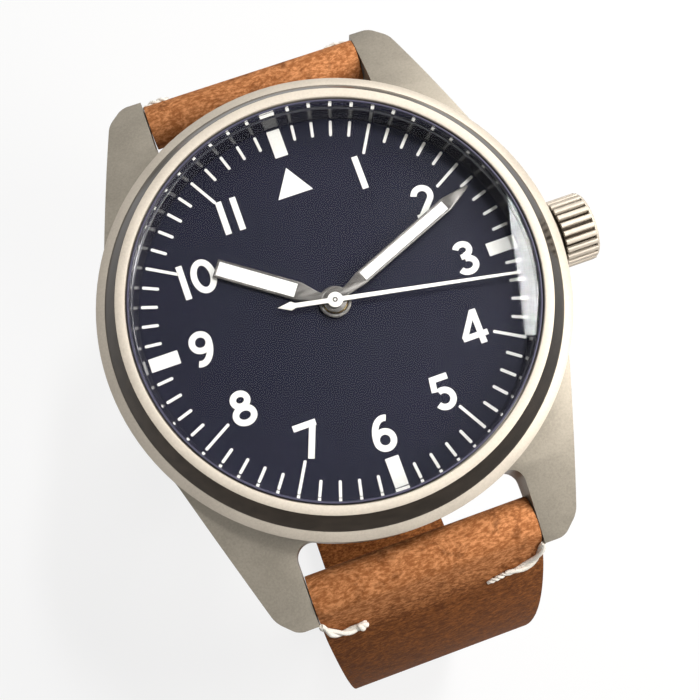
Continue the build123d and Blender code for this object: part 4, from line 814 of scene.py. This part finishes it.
# ------------------------------------------------------------------ nodes that stay
finishes = {
    "titanium": titanium, "crystal": crystal_glass, "gasket": rubber_black, "rehaut": rehaut_gloss,
    "dial": dial_satin, "marking": marking_white, "lume": lume_white, "hand_metal": hand_steel,
    "hand_paint": seconds_paint, "holder": holder_plastic, "plated_brass": plated_brass,
    "wheel_brass": wheel_brass, "steel": fine_steel, "leather": leather,
}
for part in frame["record"]["subparts"]:
    mesh = nodes[part["node"]].data
    mesh.materials.clear()
    mesh.materials.append(finishes[part["material_slot"]])


# ------------------------------------------------------------------ floor, light and world
def white_for_eye(tree):
    """A share that is 1 for rays that show the white background."""
    path = add(tree, "ShaderNodeLightPath").outputs
    seen = math_node(tree, "MAXIMUM", path["Is Camera Ray"], path["Is Glossy Ray"])
    return math_node(tree, "MAXIMUM", seen, path["Is Transmission Ray"])


floor_level = cad_low.z - FLOOR_GAP
floor_mesh = bpy.data.meshes.new("floor")
corners = [(x * FLOOR_REACH, y * FLOOR_REACH, floor_level) for x, y in ((-1, -1), (1, -1), (1, 1), (-1, 1))]
floor_mesh.from_pydata(corners, [], [(0, 1, 2, 3)])
floor = placed("floor", floor_mesh)
floor_paint, tree, shader = new_material("floor_paint", (0.86, 0.86, 0.86), 0.9)
glow = add(tree, "ShaderNodeEmission", {"Color": WHITE, "Strength": 1.0})
mixed_surface(tree, times(tree, white_for_eye(tree), FLOOR_GLOW), shader, glow, "Material Output")
floor_mesh.materials.append(floor_paint)

world = bpy.data.worlds.new("studio")
bpy.context.scene.world = world
world.use_nodes = True
tree = world.node_tree
soft = tree.nodes["Background"]
soft.inputs["Color"].default_value = (1.0, 0.98, 0.95, 1)
soft.inputs["Strength"].default_value = SOFT_LIGHT
white = add(tree, "ShaderNodeBackground", {"Color": WHITE, "Strength": 1.0})
mixed_surface(tree, white_for_eye(tree), soft, white, "World Output")


def lamp(name, place, aim, size, power, colour, turn=0.0):
    """A rectangular lamp at a place in metres, aimed at another and turned about its own beam."""
    data = bpy.data.lights.new(name, "AREA")
    data.shape = "RECTANGLE"
    data.size, data.size_y = size
    data.energy = power
    data.color = colour
    made = placed(name, data)
    made.location = place
    made.rotation_mode = "QUATERNION"
    beam = (Vector(aim) - Vector(place)).to_track_quat("-Z", "Y")
    made.rotation_quaternion = beam @ Quaternion((0, 0, 1), math.radians(turn))


# the window is what the crystal reflects
lamp("window", (0.101, 0.056, 0.30), (0.101, 0.056, 0), (0.022, 0.056), 0.55, (0.98, 0.99, 1.0), -14)
lamp("side", (0.082, -0.035, 0.072), (0, 0, 0), (0.05, 0.08), 0.125, (1.0, 0.965, 0.92))
lamp("upper", (0.125, 0.15, 0.155), (0.01, 0.01, 0), (0.08, 0.08), 0.27, (1.0, 0.975, 0.94))

bpy.context.scene.view_settings.view_transform = "Standard"
